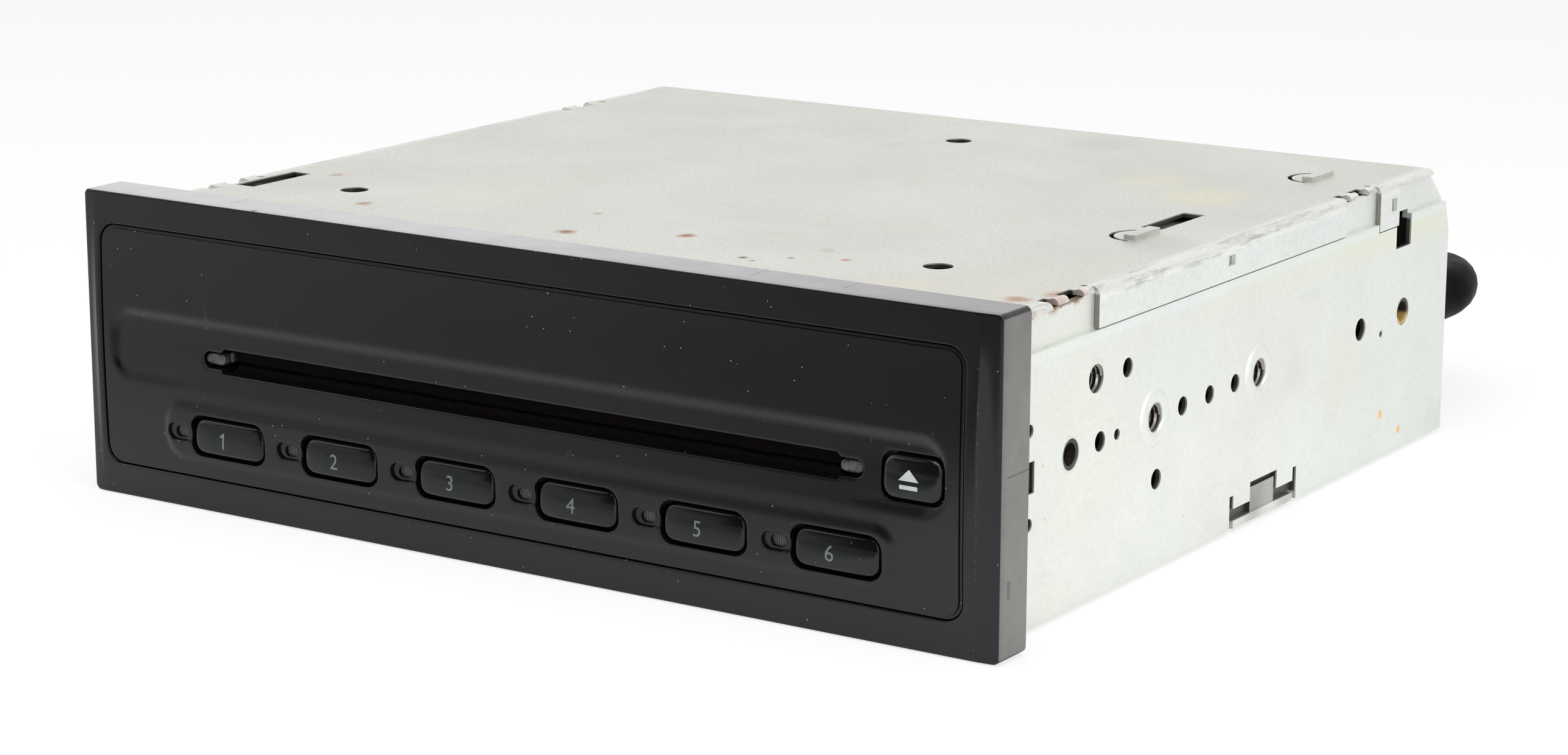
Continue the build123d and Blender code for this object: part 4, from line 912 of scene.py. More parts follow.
class Finish(Enum):
    """The object's finishes. Those of the record's material slots have the slots' names."""

    FRONT_PLASTIC = BlackPlastic("front_plastic", 0.16, dust=0.7, worn=True)
    BUTTON_PLASTIC = BlackPlastic("button_plastic", 0.07, dust=0.25, worn=False)
    PRINT = Plain("grey_print", (0.14, 0.155, 0.147), 0.55, 500.0, 0.12)
    BRIGHT_PRINT = Plain("bright_print", (0.45, 0.47, 0.45), 0.6, 500.0, 0.12)
    THREAD = BareMetal("thread_steel", (0.3, 0.28, 0.25), 0.25)
    FELT = SlotFelt()
    CLEAR_PLASTIC = ClearPlastic()
    LENS = RibbedLens()
    ZINC_WALL = Zinc(Sheet.WALL)
    ZINC_LID = Zinc(Sheet.LID, (0.63, 0.63, 0.585), (0.56, 0.56, 0.52), (0.62, 0.6, 0.5), 0.42)
    ZINC_FLOOR = Zinc(Sheet.FLOOR)
    # Inner zinc parts: a darker copy of the zinc colours, as painted shade inside the closed case.
    ZINC_SHEET = Zinc(Sheet.PLAIN, (0.36, 0.37, 0.35), (0.28, 0.29, 0.275), (0.34, 0.34, 0.28))
    SEAL = Plain("seal_paint", (0.88, 0.5, 0.12), 0.5, 900.0, 0.12)
    CIRCUIT_BOARD = Plain("circuit_board", (0.03, 0.16, 0.07), 0.4, 300.0, 0.25)
    ELECTRONIC_PARTS = Plain("electronic_parts", (0.03, 0.03, 0.032), 0.5, 900.0, 0.2)
    INNER_PLASTIC = Plain("inner_plastic", (0.03, 0.03, 0.033), 0.45, 400.0, 0.15)
    SCREW_STEEL = BareMetal("screw_steel", (0.62, 0.55, 0.36), 0.32)
    DAMPER_RUBBER = DamperRubber()
    BRIGHT_STEEL = BareMetal("bright_steel", (0.62, 0.62, 0.63), 0.22)
    ROLLER_RUBBER = Plain("black_rubber", (0.008, 0.008, 0.009), 0.55, 1500.0, 0.25)
    GEAR_PLASTIC = Plain("gear_plastic", (0.72, 0.71, 0.65), 0.4, 250.0, 0.08)
    TRAY_ALUMINIUM = BareMetal("tray_aluminium", (0.7, 0.7, 0.71), 0.38)
    MOTOR_CAN = BareMetal("motor_can", (0.6, 0.6, 0.61), 0.25)
    RIBBON = Plain("ribbon", (0.74, 0.72, 0.66), 0.42, 200.0, 0.08)
    HARNESS_TAPE = HarnessTape()
    PLUG_PLASTIC = Plain("plug_plastic", (0.62, 0.61, 0.57), 0.42, 350.0, 0.1)


@cache
def material(finish: Finish) -> Material:
    """Gives the material of a finish, made the first time it is asked for."""
    return finish.value.make()


def link(name: str, data: ID) -> Object:
    """Puts a new object in the scene.

    Args:
        name: The object's name.
        data: Its mesh, curve, lamp or camera.

    Returns:
        The object.
    """
    thing = bpy.data.objects.new(name, data)
    bpy.context.scene.collection.objects.link(thing)
    return thing


def add_piece(name: str, data: ID, finish: Finish, body: str) -> Object:
    """Makes a dressed object that rides on a body.

    Args:
        name: The object's name.
        data: Its mesh or curve.
        finish: Its finish.
        body: The body it rides on.

    Returns:
        The object.
    """
    data.materials.append(material(finish))
    thing = link(name, data)
    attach(thing, body)
    return thing


@dataclass
class Shell:
    """Collects faces for one new object."""

    name: str
    mesh: bmesh.types.BMesh = field(default_factory=bmesh.new)

    def relief(
        self,
        outline: Pill,
        holes: Sequence[Pill],
        height: Height,
        rim: float,
        spacing: float,
        creases: Iterable[tuple[Pill, float]] = (),
        steps: int = 3,
    ) -> None:
        """Adds a face over an outline, with holes, whose points lie at a height function.

        Args:
            outline: The outer edge.
            holes: Openings through the face.
            height: Depth behind the bezel's face for a place on the front.
            rim: Radius of the rounding at the outer edge and at holes without one of their own.
            spacing: Distance between the points inside.
            creases: Outlines that the face's edges must follow, each with how far outside it.
            steps: Number of rows across a rounding.
        """
        rim_gap, fence_gap, stagger, near = 0.35, 0.3, 0.25, 1e-6
        points: list[Point] = []
        drops: list[float] = []
        edges: list[tuple[int, int]] = []

        def add(loop: list[Point], drop: float) -> None:
            """Adds a closed run of points.

            Args:
                loop: The points.
                drop: How far below the height function they lie.
            """
            start = len(points)
            points.extend(loop)
            drops.extend([drop] * len(loop))
            edges.extend((start + i, start + (i + 1) % len(loop)) for i in range(len(loop)))

        for turn in (math.radians(90.0 * i / steps) for i in range(steps + 1)):
            inward, down = 1.0 - math.cos(turn), 1.0 - math.sin(turn)
            add(outline.loop(-rim * inward), rim * down)
            for hole in holes:
                round_off = hole.rim or rim
                add(hole.loop(round_off * inward), round_off * down)
        for crease, grow in creases:
            add(crease.loop(grow), 0.0)
        fences = [(hole, 0.0) for hole in holes] + list(creases)
        clear = rim + rim_gap * spacing
        columns, rows = int(outline.width / spacing), int(outline.height / spacing)
        for row in range(1, rows):
            for column in range(1, columns):
                aside = (stagger if row % 2 else -stagger) * spacing
                x = outline.x + (column / columns - 0.5) * outline.width + aside
                z = outline.z + (row / rows - 0.5) * outline.height
                if (
                    outline.distance(x, z) <= -clear
                    and all(hole.distance(x, z) >= clear + max(hole.rim - rim, 0.0) for hole in holes)
                    and all(abs(fence.distance(x, z) - grow) >= fence_gap * spacing for fence, grow in fences)
                ):
                    points.append((x, z))
                    drops.append(0.0)
        spots = [Vector(point) for point in points]
        flat, _, faces, origins, _, _ = delaunay_2d_cdt(spots, edges, [], 0, near, True)
        verts = []
        for spot, origin in zip(flat, origins):
            drop = drops[origin[0]] if origin else 0.0
            verts.append(self.mesh.verts.new(place(spot.x, height(spot.x, spot.y) + drop, spot.y)))
        for face in faces:
            x, z = (sum(flat[i][axis] for i in face) / len(face) for axis in (0, 1))
            if outline.distance(x, z) < 0.0 and all(hole.distance(x, z) > 0.0 for hole in holes):
                self.mesh.faces.new([verts[i] for i in face])
        bmesh.ops.delete(self.mesh, geom=[vert for vert in verts if not vert.link_faces], context="VERTS")

    def row(self, spots: Iterable[Iterable[float]]) -> list[bmesh.types.BMVert]:
        """Adds points of the drawing."""
        return [self.mesh.verts.new(place(*spot)) for spot in spots]

    def strips(self, rows: Sequence[list[bmesh.types.BMVert]], closed: bool) -> None:
        """Adds the faces between rows of points.

        Args:
            rows: The rows.
            closed: Whether each row runs round to its first point.
        """
        for low, high in zip(rows, rows[1:]):
            for i in range(len(low) - (not closed)):
                after = (i + 1) % len(low)
                self.mesh.faces.new((low[i], low[after], high[after], high[i]))

    def walls(
        self, outline: Pill, rings: Sequence[tuple[float, float | Height]], close: bool = False
    ) -> None:
        """Adds a band of faces through rings round an outline.

        Args:
            outline: The outline.
            rings: For each ring, how far outside the outline it lies, and its depth or depth function.
            close: Whether the last ring is filled.
        """
        rows = []
        for grow, depth in rings:
            spots = outline.loop(grow)
            rows.append(self.row((x, depth(x, z) if callable(depth) else depth, z) for x, z in spots))
        self.strips(rows, True)
        if close:
            self.mesh.faces.new(rows[-1])

    def box(self, low: Spot, high: Spot, bevel: float) -> None:
        """Adds a box with bevelled edges.

        Args:
            low: Lowest corner in the drawing.
            high: Highest corner in the drawing.
            bevel: Width of the bevel.
        """
        made = bmesh.ops.create_cube(self.mesh, size=1.0)["verts"]
        a, b = place(*low), place(*high)
        for vert in made:
            vert.co = Vector((a[i] + (b[i] - a[i]) * (vert.co[i] + 0.5) for i in range(3)))
        edges = list({edge for vert in made for edge in vert.link_edges})
        bmesh.ops.bevel(
            self.mesh, geom=edges, offset=bevel * MM, segments=2, affect="EDGES", profile=0.5, material=-1
        )

    def finish(
        self, finish: Finish, body: str, slot: str, smooth: float = 40.0, clean: bool = True
    ) -> Object:
        """Turns the faces into an object that rides on a body.

        Args:
            finish: Its finish.
            body: The body it rides on.
            slot: The record's material slot; not used.
            smooth: Greatest angle that is shaded smooth, in degrees, or 0 for flat faces.
            clean: Whether near points become one and the faces are turned outwards.

        Returns:
            The object.
        """
        weld = 0.002
        if clean:
            bmesh.ops.remove_doubles(self.mesh, verts=self.mesh.verts, dist=weld * MM)
            bmesh.ops.recalc_face_normals(self.mesh, faces=self.mesh.faces)
        data = bpy.data.meshes.new(self.name)
        self.mesh.to_mesh(data)
        self.mesh.free()
        if smooth:
            data.shade_smooth()
            data.set_sharp_from_angle(angle=math.radians(smooth))
        return add_piece(self.name, data, finish, body)


@dataclass
class CadFinishes:
    """The finishes of the CAD nodes."""

    special: dict[str, Finish] = field(
        default_factory=lambda: {
            "main_chassis": Finish.ZINC_WALL, "top_cover": Finish.ZINC_LID,
            "bottom_cover": Finish.ZINC_FLOOR, "indicator_lenses": Finish.LENS,
        }
    )

    def build(self) -> list[Object]:
        """Gives each CAD node its finish.

        Returns:
            The pieces.
        """
        slots = {part["node"]: part["material_slot"] for part in frame["record"]["subparts"]}
        for name, thing in frame["nodes"].items():
            finish = self.special.get(name) or Finish[slots[name].upper()]
            thing.data.materials.clear()
            thing.data.materials.append(material(finish))
        return list(frame["nodes"].values())


@dataclass
class Harness:
    """The taped cord that leaves the rear wall and lies on the floor."""

    radius: float = 0.0051
    route: tuple[Spot, ...] = (
        (79.0, 178.1, 22.0), (79.0, 188.1, 22.0), (80.6, 199.6, 22.7), (75.6, 209.7, 22.7),
        (64.4, 214.4, 21.1), (51.6, 214.1, 17.8), (39.0, 211.7, 13.7), (26.4, 208.9, 9.7),
        (13.4, 207.2, 6.5), (-0.2, 208.0, 5.3), (-13.8, 210.5, 5.5), (-27.0, 211.5, 6.4),
    )

    def build(self) -> list[Object]:
        """Makes the cord.

        Returns:
            The pieces.
        """
        data = bpy.data.curves.new("harness_bundle", "CURVE")
        data.dimensions = "3D"
        spline = data.splines.new("NURBS")
        spline.points.add(len(self.route) - 1)
        for point, spot in zip(spline.points, self.route):
            point.co = (*place(*spot), 1.0)
        spline.order_u = 3
        spline.use_endpoint_u = True
        spline.resolution_u = 10
        data.bevel_depth = self.radius
        data.bevel_resolution = 8
        data.use_fill_caps = True
        bundle = add_piece("harness_bundle", data, Finish.HARNESS_TAPE, "housing")
        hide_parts("harness_cable")
        return [bundle]


@dataclass
class BezelFace:
    """The bezel's front with its rounded convex pad, in place of the plain one."""

    rim: float = 0.25
    spacing: float = 0.6
    cut: float = 1.9
    overlap: float = 0.3
    pad_corner: float = 0.5
    pad_creases: tuple[float, ...] = (0.0, 0.1, 0.6, 1.2)

    def __post_init__(self) -> None:
        """Lays out the outlines."""
        f = FRONT
        self.outline = Pill(0.0, f.mid_z, f.width, f.height, f.corner)
        self.pad = Pill(f.pad_x, f.pad_mid_z, 2 * f.pad_half, 2 * f.pad_rise_half, self.pad_corner)
        gap, corner = 2 * f.panel_gap, f.panel_corner + f.panel_gap
        self.opening = Pill(f.panel_x, f.mid_z, f.panel_width + gap, f.panel_height + gap, corner)

    def height(self, x: float, z: float) -> float:
        """Gives the depth of the front at a place.

        Args:
            x: Place to the right.
            z: Height.

        Returns:
            Distance behind the bezel's face.
        """
        beyond = max(abs(x - FRONT.pad_x) - FRONT.pad_half, 0.0)
        pad = FRONT.pad(z) * max(1.0 - beyond / FRONT.pad_end, 0.0) ** 2
        return pad + FRONT.frame_lean * beyond

    def build(self) -> list[Object]:
        """Makes the face, and keeps the plain bezel's rear part.

        Returns:
            The pieces.
        """
        shell = Shell("bezel_face")
        creases = [(self.pad, grow) for grow in self.pad_creases]
        shell.relief(self.outline, [self.opening], self.height, self.rim, self.spacing, creases)
        for edge, depth in ((self.outline, self.cut), (self.opening, self.cut + self.overlap)):
            shell.walls(edge, [(0.0, lowered(self.height, self.rim)), (0.0, depth)])
        face = shell.finish(Finish.FRONT_PLASTIC, "housing", "front_plastic")
        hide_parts("front_bezel")
        plain = frame["nodes"]["front_bezel"]
        rear = Shell("bezel_rear")
        rear.mesh.from_mesh(plain.data)
        rear.mesh.transform(plain.matrix_world)
        bmesh.ops.remove_doubles(rear.mesh, verts=rear.mesh.verts, dist=0.002 * MM)
        everything = [*rear.mesh.verts, *rear.mesh.edges, *rear.mesh.faces]
        bmesh.ops.bisect_plane(
            rear.mesh, geom=everything, plane_co=place(0.0, self.cut, 0.0), plane_no=(0.0, 1.0, 0.0),
            clear_inner=True,
        )
        return [face, rear.finish(Finish.FRONT_PLASTIC, "housing", "front_plastic")]


@dataclass
class FrontPanel:
    """The inner plate with its soft troughs, and what sits in it."""

    trough: Pill = Pill(-1.85, 28.1, 173.3, 13.4, 4.8)
    row: Pill = Pill(0.0, 14.0, 152.6, 11.2, 4.6)
    slope: float = 1.8
    step: float = 0.3
    step_start: float = 0.45
    step_width: float = 0.12
    rim: float = 0.1
    spacing: float = 0.55
    gap_corner: float = 2.5
    eject_gap_corner: float = 2.3
    end_lean: float = 0.35
    end_start: float = 64.0
    end_width: float = 14.0
    least_lean: float = 0.15
    lean_below: float = 6.7
    lean_width: float = 9.5
    window_size: Spot = (5.2, 3.1, 1.5)
    window_floor: Spot = (5.1, 3.0, 1.45)
    window_left: float = 0.28
    window_rim: float = 0.04
    window_depth: float = 0.62
    window_spacing: float = 0.3
    lens_size: Spot = (2.9, 1.95, 0.96)
    notch: float = 0.3
    notch_span: Point = (2.2, 4.2)
    notch_half: float = 1.2
    turn_in: float = 2.0

    def __post_init__(self) -> None:
        """Lays out the outlines."""
        f = FRONT
        gap = 2 * f.button_gap
        middles = [f.button_x(index) for index in range(f.button_count)]
        self.outline = Pill(f.panel_x, f.mid_z, f.panel_width, f.panel_height, f.panel_corner)
        self.slot = SlotOutline(f.slot_x, f.mid_z, f.slot_width, f.slot_height, f.slot_corner, f.slot_rim)
        size = (f.button_width + gap, f.button_height + gap, self.gap_corner)
        self.gaps = [Pill(x, f.button_z, *size) for x in middles]
        size = (f.eject_width + gap, f.eject_height + gap, self.eject_gap_corner)
        self.gaps.append(Pill(f.eject_x, f.mid_z, *size))
        lefts = [x - f.lens_offset for x in middles]
        self.windows = [Pill(left - self.window_left, f.button_z, *self.window_size) for left in lefts]
        self.lenses = [Pill(left, f.button_z, *self.lens_size) for left in lefts]

    def height(self, x: float, z: float) -> float:
        """Gives the depth of the plate's front.

        Args:
            x: Place to the right.
            z: Height.

        Returns:
            Distance behind the bezel's face.
        """
        f = FRONT
        depth = f.pad(z)
        edge = -self.outline.distance(x, z)
        depth += self.step * (1.0 - smooth_step((edge - self.step_start) / self.step_width))
        ends = self.end_lean * smooth_step((abs(x - self.trough.x) - self.end_start) / self.end_width)
        up = smooth_step((z - self.trough.z + self.lean_below) / self.lean_width)
        lean = self.least_lean + ends + (1.0 - self.least_lean - ends) * up
        depth += f.recess * lean * smooth_step(-self.trough.distance(x, z) / self.slope)
        depth -= f.row_rise * smooth_step(-self.row.distance(x, z) / self.slope)
        low, high = self.notch_span
        for window in self.windows:
            if low < x - window.x < high and abs(z - window.z) < self.notch_half:
                depth += self.notch
        return depth

    def sunk(self, x: float, z: float) -> float:
        """Gives the depth of a window's floor at a place."""
        return FRONT.pad(z) - FRONT.row_rise + self.window_depth

    def build(self) -> list[Object]:
        """Makes the plate, and hides the plain one.

        Returns:
            The pieces.
        """
        back = FRONT.panel_depth
        edge = lowered(self.height, self.rim)
        shell = Shell("panel_face")
        holes = [self.slot, *self.gaps, *self.windows]
        creases = [(self.outline, -self.step_start), (self.outline, -self.step_start - self.step_width)]
        shell.relief(self.outline, holes, self.height, self.rim, self.spacing, creases)
        for hole in (self.slot, *self.gaps):
            shell.walls(hole, [(0.0, lowered(self.height, hole.rim or self.rim)), (0.0, back)])
        for window, lens in zip(self.windows, self.lenses):
            shell.walls(window, [(0.0, edge), (-0.05, self.sunk)])
            sill = Pill(window.x, window.z, *self.window_floor)
            shell.relief(sill, [lens], self.sunk, self.window_rim, self.window_spacing)
            shell.walls(lens, [(0.0, lowered(self.sunk, self.window_rim)), (0.0, back)])
        shell.walls(self.outline, [(0.0, edge), (0.0, back), (-self.turn_in, back)])
        plate = shell.finish(Finish.FRONT_PLASTIC, "housing", "front_plastic", 50.0)
        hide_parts("front_panel")
        return [plate]


@dataclass
class SlotLining:
    """The felts behind the slot and the clear pieces at its ends."""

    columns: int = 560
    rows: int = 12
    start: float = 2.6
    short: float = 2.7
    nip: float = 0.14
    below: float = 0.35
    tall: float = 2.9
    taller: float = 0.35
    lip: float = 0.9
    guide_size: Spot = (4.2, 2.05, 1.0)
    guide_beyond: float = 1.9
    guide_rise: float = 0.1
    guide_rim: float = 0.25
    guide_spacing: float = 0.16
    guide_rear: float = 5.3
    clip_low: Spot = (0.5, 1.5, -0.3)
    clip_high: Spot = (1.3, 2.6, 1.5)
    clip_bevel: float = 0.3

    def felt(self, side: Strip) -> Object:
        """Makes one ragged strip of felt.

        Args:
            side: Which strip it is.

        Returns:
            The strip.
        """
        f = FRONT
        start, span = f.slot_x - f.slot_width / 2 + self.start, f.slot_width - self.short
        shell = Shell("felt_" + side.name.lower())
        grid = []
        for share in (row / self.rows for row in range(self.rows + 1)):
            spots = []
            for column in range(self.columns + 1):
                x = start + span * column / self.columns
                wave = field_noise.noise(Vector((x * 0.11, side * 7.0, 0.0))) * 0.22
                wave += field_noise.noise(Vector((x * 0.9, side * 3.0, 5.0))) * 0.12
                near = self.nip + wave * (1.0 - share)
                z = f.mid_z - self.below + side * (near + share * (self.tall + self.taller * side))
                tuft = field_noise.noise(Vector((x * 2.6, z * 3.4, side * 2.0)))
                fuzz = field_noise.noise(Vector((x * 7.0, z * 8.0, side * 9.0)))
                roll = 0.55 * (1.0 - smooth_step(share * 5.0))
                spots.append((x, f.panel_depth - 0.5 + roll - 0.2 * tuft - 0.12 * fuzz, z))
            grid.append(shell.row(spots))
        shell.strips(grid, False)
        rear = [shell.mesh.verts.new(vert.co + Vector((0.0, self.lip * MM, 0.0))) for vert in grid[0]]
        shell.strips([grid[0], rear], False)
        return shell.finish(Finish.FELT, "housing", "felt", 180.0)

    def guide(self, side: Side) -> Object:
        """Makes one clear ribbed piece at an end of the slot.

        Args:
            side: The end.

        Returns:
            The piece.
        """
        f = FRONT
        middle = f.slot_x + side * (f.slot_width / 2 + self.guide_beyond)
        outline = Pill(middle, f.mid_z + self.guide_rise, *self.guide_size)

        def ribbed(x: float, z: float) -> float:
            """Gives the depth of the ribbed face at a place."""
            ribs = 0.06 * math.sin(x * 13.0) + 0.04 * math.sin(x * 31.0 + z * 3.0)
            return 0.5 + ribs + 0.22 * (z - outline.z) ** 2

        shell = Shell("guide_" + side.name.lower())
        shell.relief(outline, [], ribbed, self.guide_rim, self.guide_spacing)
        shell.walls(outline, [(0.0, lowered(ribbed, self.guide_rim)), (0.0, self.guide_rear)], close=True)
        return shell.finish(Finish.CLEAR_PLASTIC, "housing", "clear_plastic", 50.0)

    def build(self) -> list[Object]:
        """Makes the felts and the clear pieces.

        Returns:
            The pieces.
        """
        upper, lower = self.felt(Strip.UPPER), self.felt(Strip.LOWER)
        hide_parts("slot_felts")
        right, left = self.guide(Side.RIGHT), self.guide(Side.LEFT)
        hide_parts("slot_light_guides")
        shell = Shell("slot_clip")
        edge = FRONT.slot_x - FRONT.slot_width / 2
        low, high = ((edge + x, y, FRONT.mid_z + z) for x, y, z in (self.clip_low, self.clip_high))
        shell.box(low, high, self.clip_bevel)
        return [upper, lower, right, left, shell.finish(Finish.CLEAR_PLASTIC, "housing", "clear_plastic")]


@dataclass
class PushButton:
    """A gloss cap with a rounded rim, its stop flange and its printed sign, of a CAD node and body."""

    node: str
    x: float
    z: float
    width: float
    height: float
    corner: float = 2.1
    rim: float = 0.8
    spacing: float = 0.45
    proud: float = 0.86
    bow: float = 0.08
    shoulder: float = 0.32
    lean: float = 0.36
    lean_up: float = 0.35
    flange: float = 0.7
    flange_depth: float = 1.0
    play: float = 0.1
    rear: float = 7.0
    stem: float = 2.4
    stem_end: float = 8.0

    def crown(self, x: float, z: float) -> float:
        """Gives the depth of the crowned cap at a place."""
        dx, dz = abs(x - self.x) / (self.width / 2), (z - self.z) / (self.height / 2)
        return -self.proud + self.bow * dx**2 + self.shoulder * dx**4 + self.lean * (dz + self.lean_up) ** 2

    def build(self) -> list[Object]:
        """Makes the cap.

        Returns:
            The pieces.
        """
        outline = Pill(self.x, self.z, self.width, self.height, self.corner)
        shell = Shell("cap_" + self.node)
        shell.relief(outline, [], self.crown, self.rim, self.spacing, steps=6)
        back = FRONT.panel_depth + self.play
        end = back + self.flange_depth
        rings = [(0.0, back), (self.flange, back), (self.flange, end), (0.0, end), (0.0, self.rear)]
        shell.walls(outline, [(0.0, lowered(self.crown, self.rim)), *rings], close=True)
        stem = Pill(self.x, self.z, self.stem, self.stem, self.stem / 2 - 0.01)
        shell.walls(stem, [(0.0, self.rear), (0.0, self.stem_end)], close=True)
        cap = shell.finish(Finish.BUTTON_PLASTIC, self.node, "button_plastic", 55.0)
        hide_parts(self.node)
        return [cap]

    def sign(self, shell: Shell, paint: Finish, right: float, up: float) -> Object:
        """Lays flat printed faces on the cap, as an object that rides on the button.

        Args:
            shell: The faces, in millimetres in the XY plane.
            paint: Its finish.
            right: How far right of the cap's middle it lies.
            up: How far above the middle.

        Returns:
            The sign.
        """
        mesh, over = shell.mesh, 0.02
        bmesh.ops.triangulate(mesh, faces=mesh.faces)
        bmesh.ops.subdivide_edges(mesh, edges=mesh.edges, cuts=3, use_grid_fill=True)
        bmesh.ops.triangulate(mesh, faces=mesh.faces)
        for vert in mesh.verts:
            x, z = self.x + right + vert.co.x, self.z + up + vert.co.y
            vert.co = place(x, self.crown(x, z) - over, z)
        for face in mesh.faces:
            face.normal_update()
            if face.normal.y > 0:
                face.normal_flip()
        return shell.finish(paint, self.node, "button_plastic", smooth=0.0, clean=False)


@dataclass
class NumberButton(PushButton):
    """A button with a plain digit."""

    digit: int = 1
    size: float = 3.75
    right: float = -1.1
    up: float = -0.3
    one: tuple[Point, ...] = (
        (0.3, 1.4), (0.3, -1.4), (-0.08, -1.4), (-0.08, 0.72), (-0.7, 0.55), (-0.7, 0.84), (0.02, 1.4)
    )

    def build(self) -> list[Object]:
        """Makes the cap and prints the digit.

        Returns:
            The pieces.
        """
        pieces = super().build()
        shell = Shell(f"digit_{self.digit}")
        if self.digit == 1:
            shell.mesh.faces.new([shell.mesh.verts.new((x, y, 0.0)) for x, y in self.one])
        else:
            self.write(shell)
        return [*pieces, self.sign(shell, Finish.PRINT, self.right, self.up)]

    def write(self, shell: Shell) -> None:
        """Fills a shell with the digit in Blender's own plain letters.

        Args:
            shell: The shell, in whose middle the digit lies.
        """
        words = bpy.data.curves.new(shell.name, "FONT")
        words.body = str(self.digit)
        words.size = self.size
        words.align_x = words.align_y = "CENTER"
        words.resolution_u = 4
        holder = bpy.data.objects.new("digit_source", words)
        flat = bpy.data.meshes.new_from_object(holder)
        bpy.data.objects.remove(holder)
        shell.mesh.from_mesh(flat)
        bpy.data.meshes.remove(flat)
        wide, tall = ([vert.co[axis] for vert in shell.mesh.verts] for axis in (0, 1))
        middle = Vector(((min(wide) + max(wide)) / 2, (min(tall) + max(tall)) / 2))
        for vert in shell.mesh.verts:
            vert.co = Vector((vert.co.x - middle.x, vert.co.y - middle.y, 0.0))


@dataclass
class EjectButton(PushButton):
    """The button with the eject sign."""

    triangle: tuple[Point, ...] = ((-1.85, -0.35), (1.85, -0.35), (0.0, 1.5))
    bar: tuple[Point, ...] = ((-1.65, -1.72), (1.65, -1.72), (1.65, -1.04), (-1.65, -1.04))
    round_off: float = 0.12
    right: float = -0.4

    def build(self) -> list[Object]:
        """Makes the cap and prints the sign.

        Returns:
            The pieces.
        """
        pieces = super().build()
        shell = Shell("eject_sign")
        for points in (self.triangle, self.bar):
            face = shell.mesh.faces.new([shell.mesh.verts.new((x, z, 0.0)) for x, z in points])
            bmesh.ops.bevel(
                shell.mesh, geom=list(face.verts), offset=self.round_off, segments=3, affect="VERTICES",
                profile=0.5, material=-1,
            )
        return [*pieces, self.sign(shell, Finish.BRIGHT_PRINT, self.right, 0.0)]


@dataclass
class SideDetails:
    """Threads and embossed rings round the tapped holes of the side walls, and drops of sealing paint."""

    face: float = 89.0
    tapped: tuple[Point, ...] = ((38.3, 37.2), (58.7, 26.6), (96.9, 26.8))
    sealed: tuple[Point, ...] = ((148.5, 8.7), (156.8, 4.2))
    bore: float = 2.5
    crest: float = 2.1
    pitch: float = 0.8
    length: float = 2.5
    inset: float = 0.05
    seal_radius: float = 0.62
    seal_rise: float = 0.1
    plain_ring: Point = (3.4, 0.12)
    raised_ring: Point = (5.1, 0.45)

    @staticmethod
    def circle(along: float, y: float, z: float, radius: float, around: int) -> list[Spot]:
        """Lists a number of points of a circle on a side wall, round a middle of the drawing."""
        angles = [2.0 * math.pi * index / around for index in range(around)]
        return [(along, y + radius * math.cos(angle), z + radius * math.sin(angle)) for angle in angles]

    def thread(self, name: str, side: Side, y: float, z: float) -> Object:
        """Cuts a bright thread into a tapped hole, as a helix of small ridges.

        Args:
            name: The object's name.
            side: The wall.
            y: The hole's distance behind the bezel's face.
            z: Its height.

        Returns:
            The thread.
        """
        around = 36
        profile = ((self.bore, 0.0), (self.crest, -0.26), (self.crest, -0.4), (self.bore, -0.66))
        shell = Shell(name)
        rows = []
        for step in range(int(self.length / self.pitch * around) + 1):
            angle = 2.0 * math.pi * step / around
            along = self.face - self.inset - self.pitch * step / around
            rows.append(
                shell.row(
                    (side * (along + shift), y + radius * math.cos(angle), z + radius * math.sin(angle))
                    for radius, shift in profile
                )
            )
        shell.strips(rows, False)
        return shell.finish(Finish.THREAD, "housing", "zinc_sheet", 30.0)

    def ring(self, name: str, side: Side, y: float, z: float, size: Point) -> Object:
        """Raises the sheet a little round a tapped hole.

        Args:
            name: The object's name.
            side: The wall.
            y: The hole's distance behind the bezel's face.
            z: Its height.
            size: Radius of the raised ring, and how far it is raised.

        Returns:
            The ring.
        """
        reach, rise = size
        profile = (
            (self.bore, -0.3), (self.bore + 0.02, 0.6 * rise), (self.bore + 0.2, 0.9 * rise),
            (reach - 1.0, rise), (reach - 0.5, 0.75 * rise), (reach - 0.2, 0.3 * rise), (reach, -0.02),
        )
        shell = Shell(name)
        rows = [
            shell.row(self.circle(side * (self.face + over), y, z, radius, 64)) for radius, over in profile
        ]
        shell.strips(rows, True)
        return shell.finish(Finish.ZINC_WALL, "housing", "zinc_sheet", 60.0)

    def seal(self, name: str, side: Side, y: float, z: float) -> Object:
        """Fills a small hole with a drop of sealing paint.

        Args:
            name: The object's name.
            side: The wall.
            y: The hole's distance behind the bezel's face.
            z: Its height.

        Returns:
            The drop.
        """
        shell = Shell(name)
        rim = shell.row(self.circle(side * (self.face - self.seal_rise), y, z, self.seal_radius, 20))
        (crown,) = shell.row([(side * self.face, y, z)])
        for index, vert in enumerate(rim):
            shell.mesh.faces.new((vert, rim[(index + 1) % len(rim)], crown))
        return shell.finish(Finish.SEAL, "housing", "zinc_sheet", 60.0)

    def build(self) -> list[Object]:
        """Makes the details of both walls.

        Returns:
            The pieces.
        """
        pieces = []
        for side in Side:
            label = side.name.lower()
            for number, (y, z) in enumerate(self.tapped):
                size = self.raised_ring if number else self.plain_ring
                pieces.append(self.thread(f"thread_{label}_{number}", side, y, z))
                pieces.append(self.ring(f"emboss_{label}_{number}", side, y, z, size))
            for number, (y, z) in enumerate(self.sealed):
                pieces.append(self.seal(f"seal_{label}_{number}", side, y, z))
        return pieces


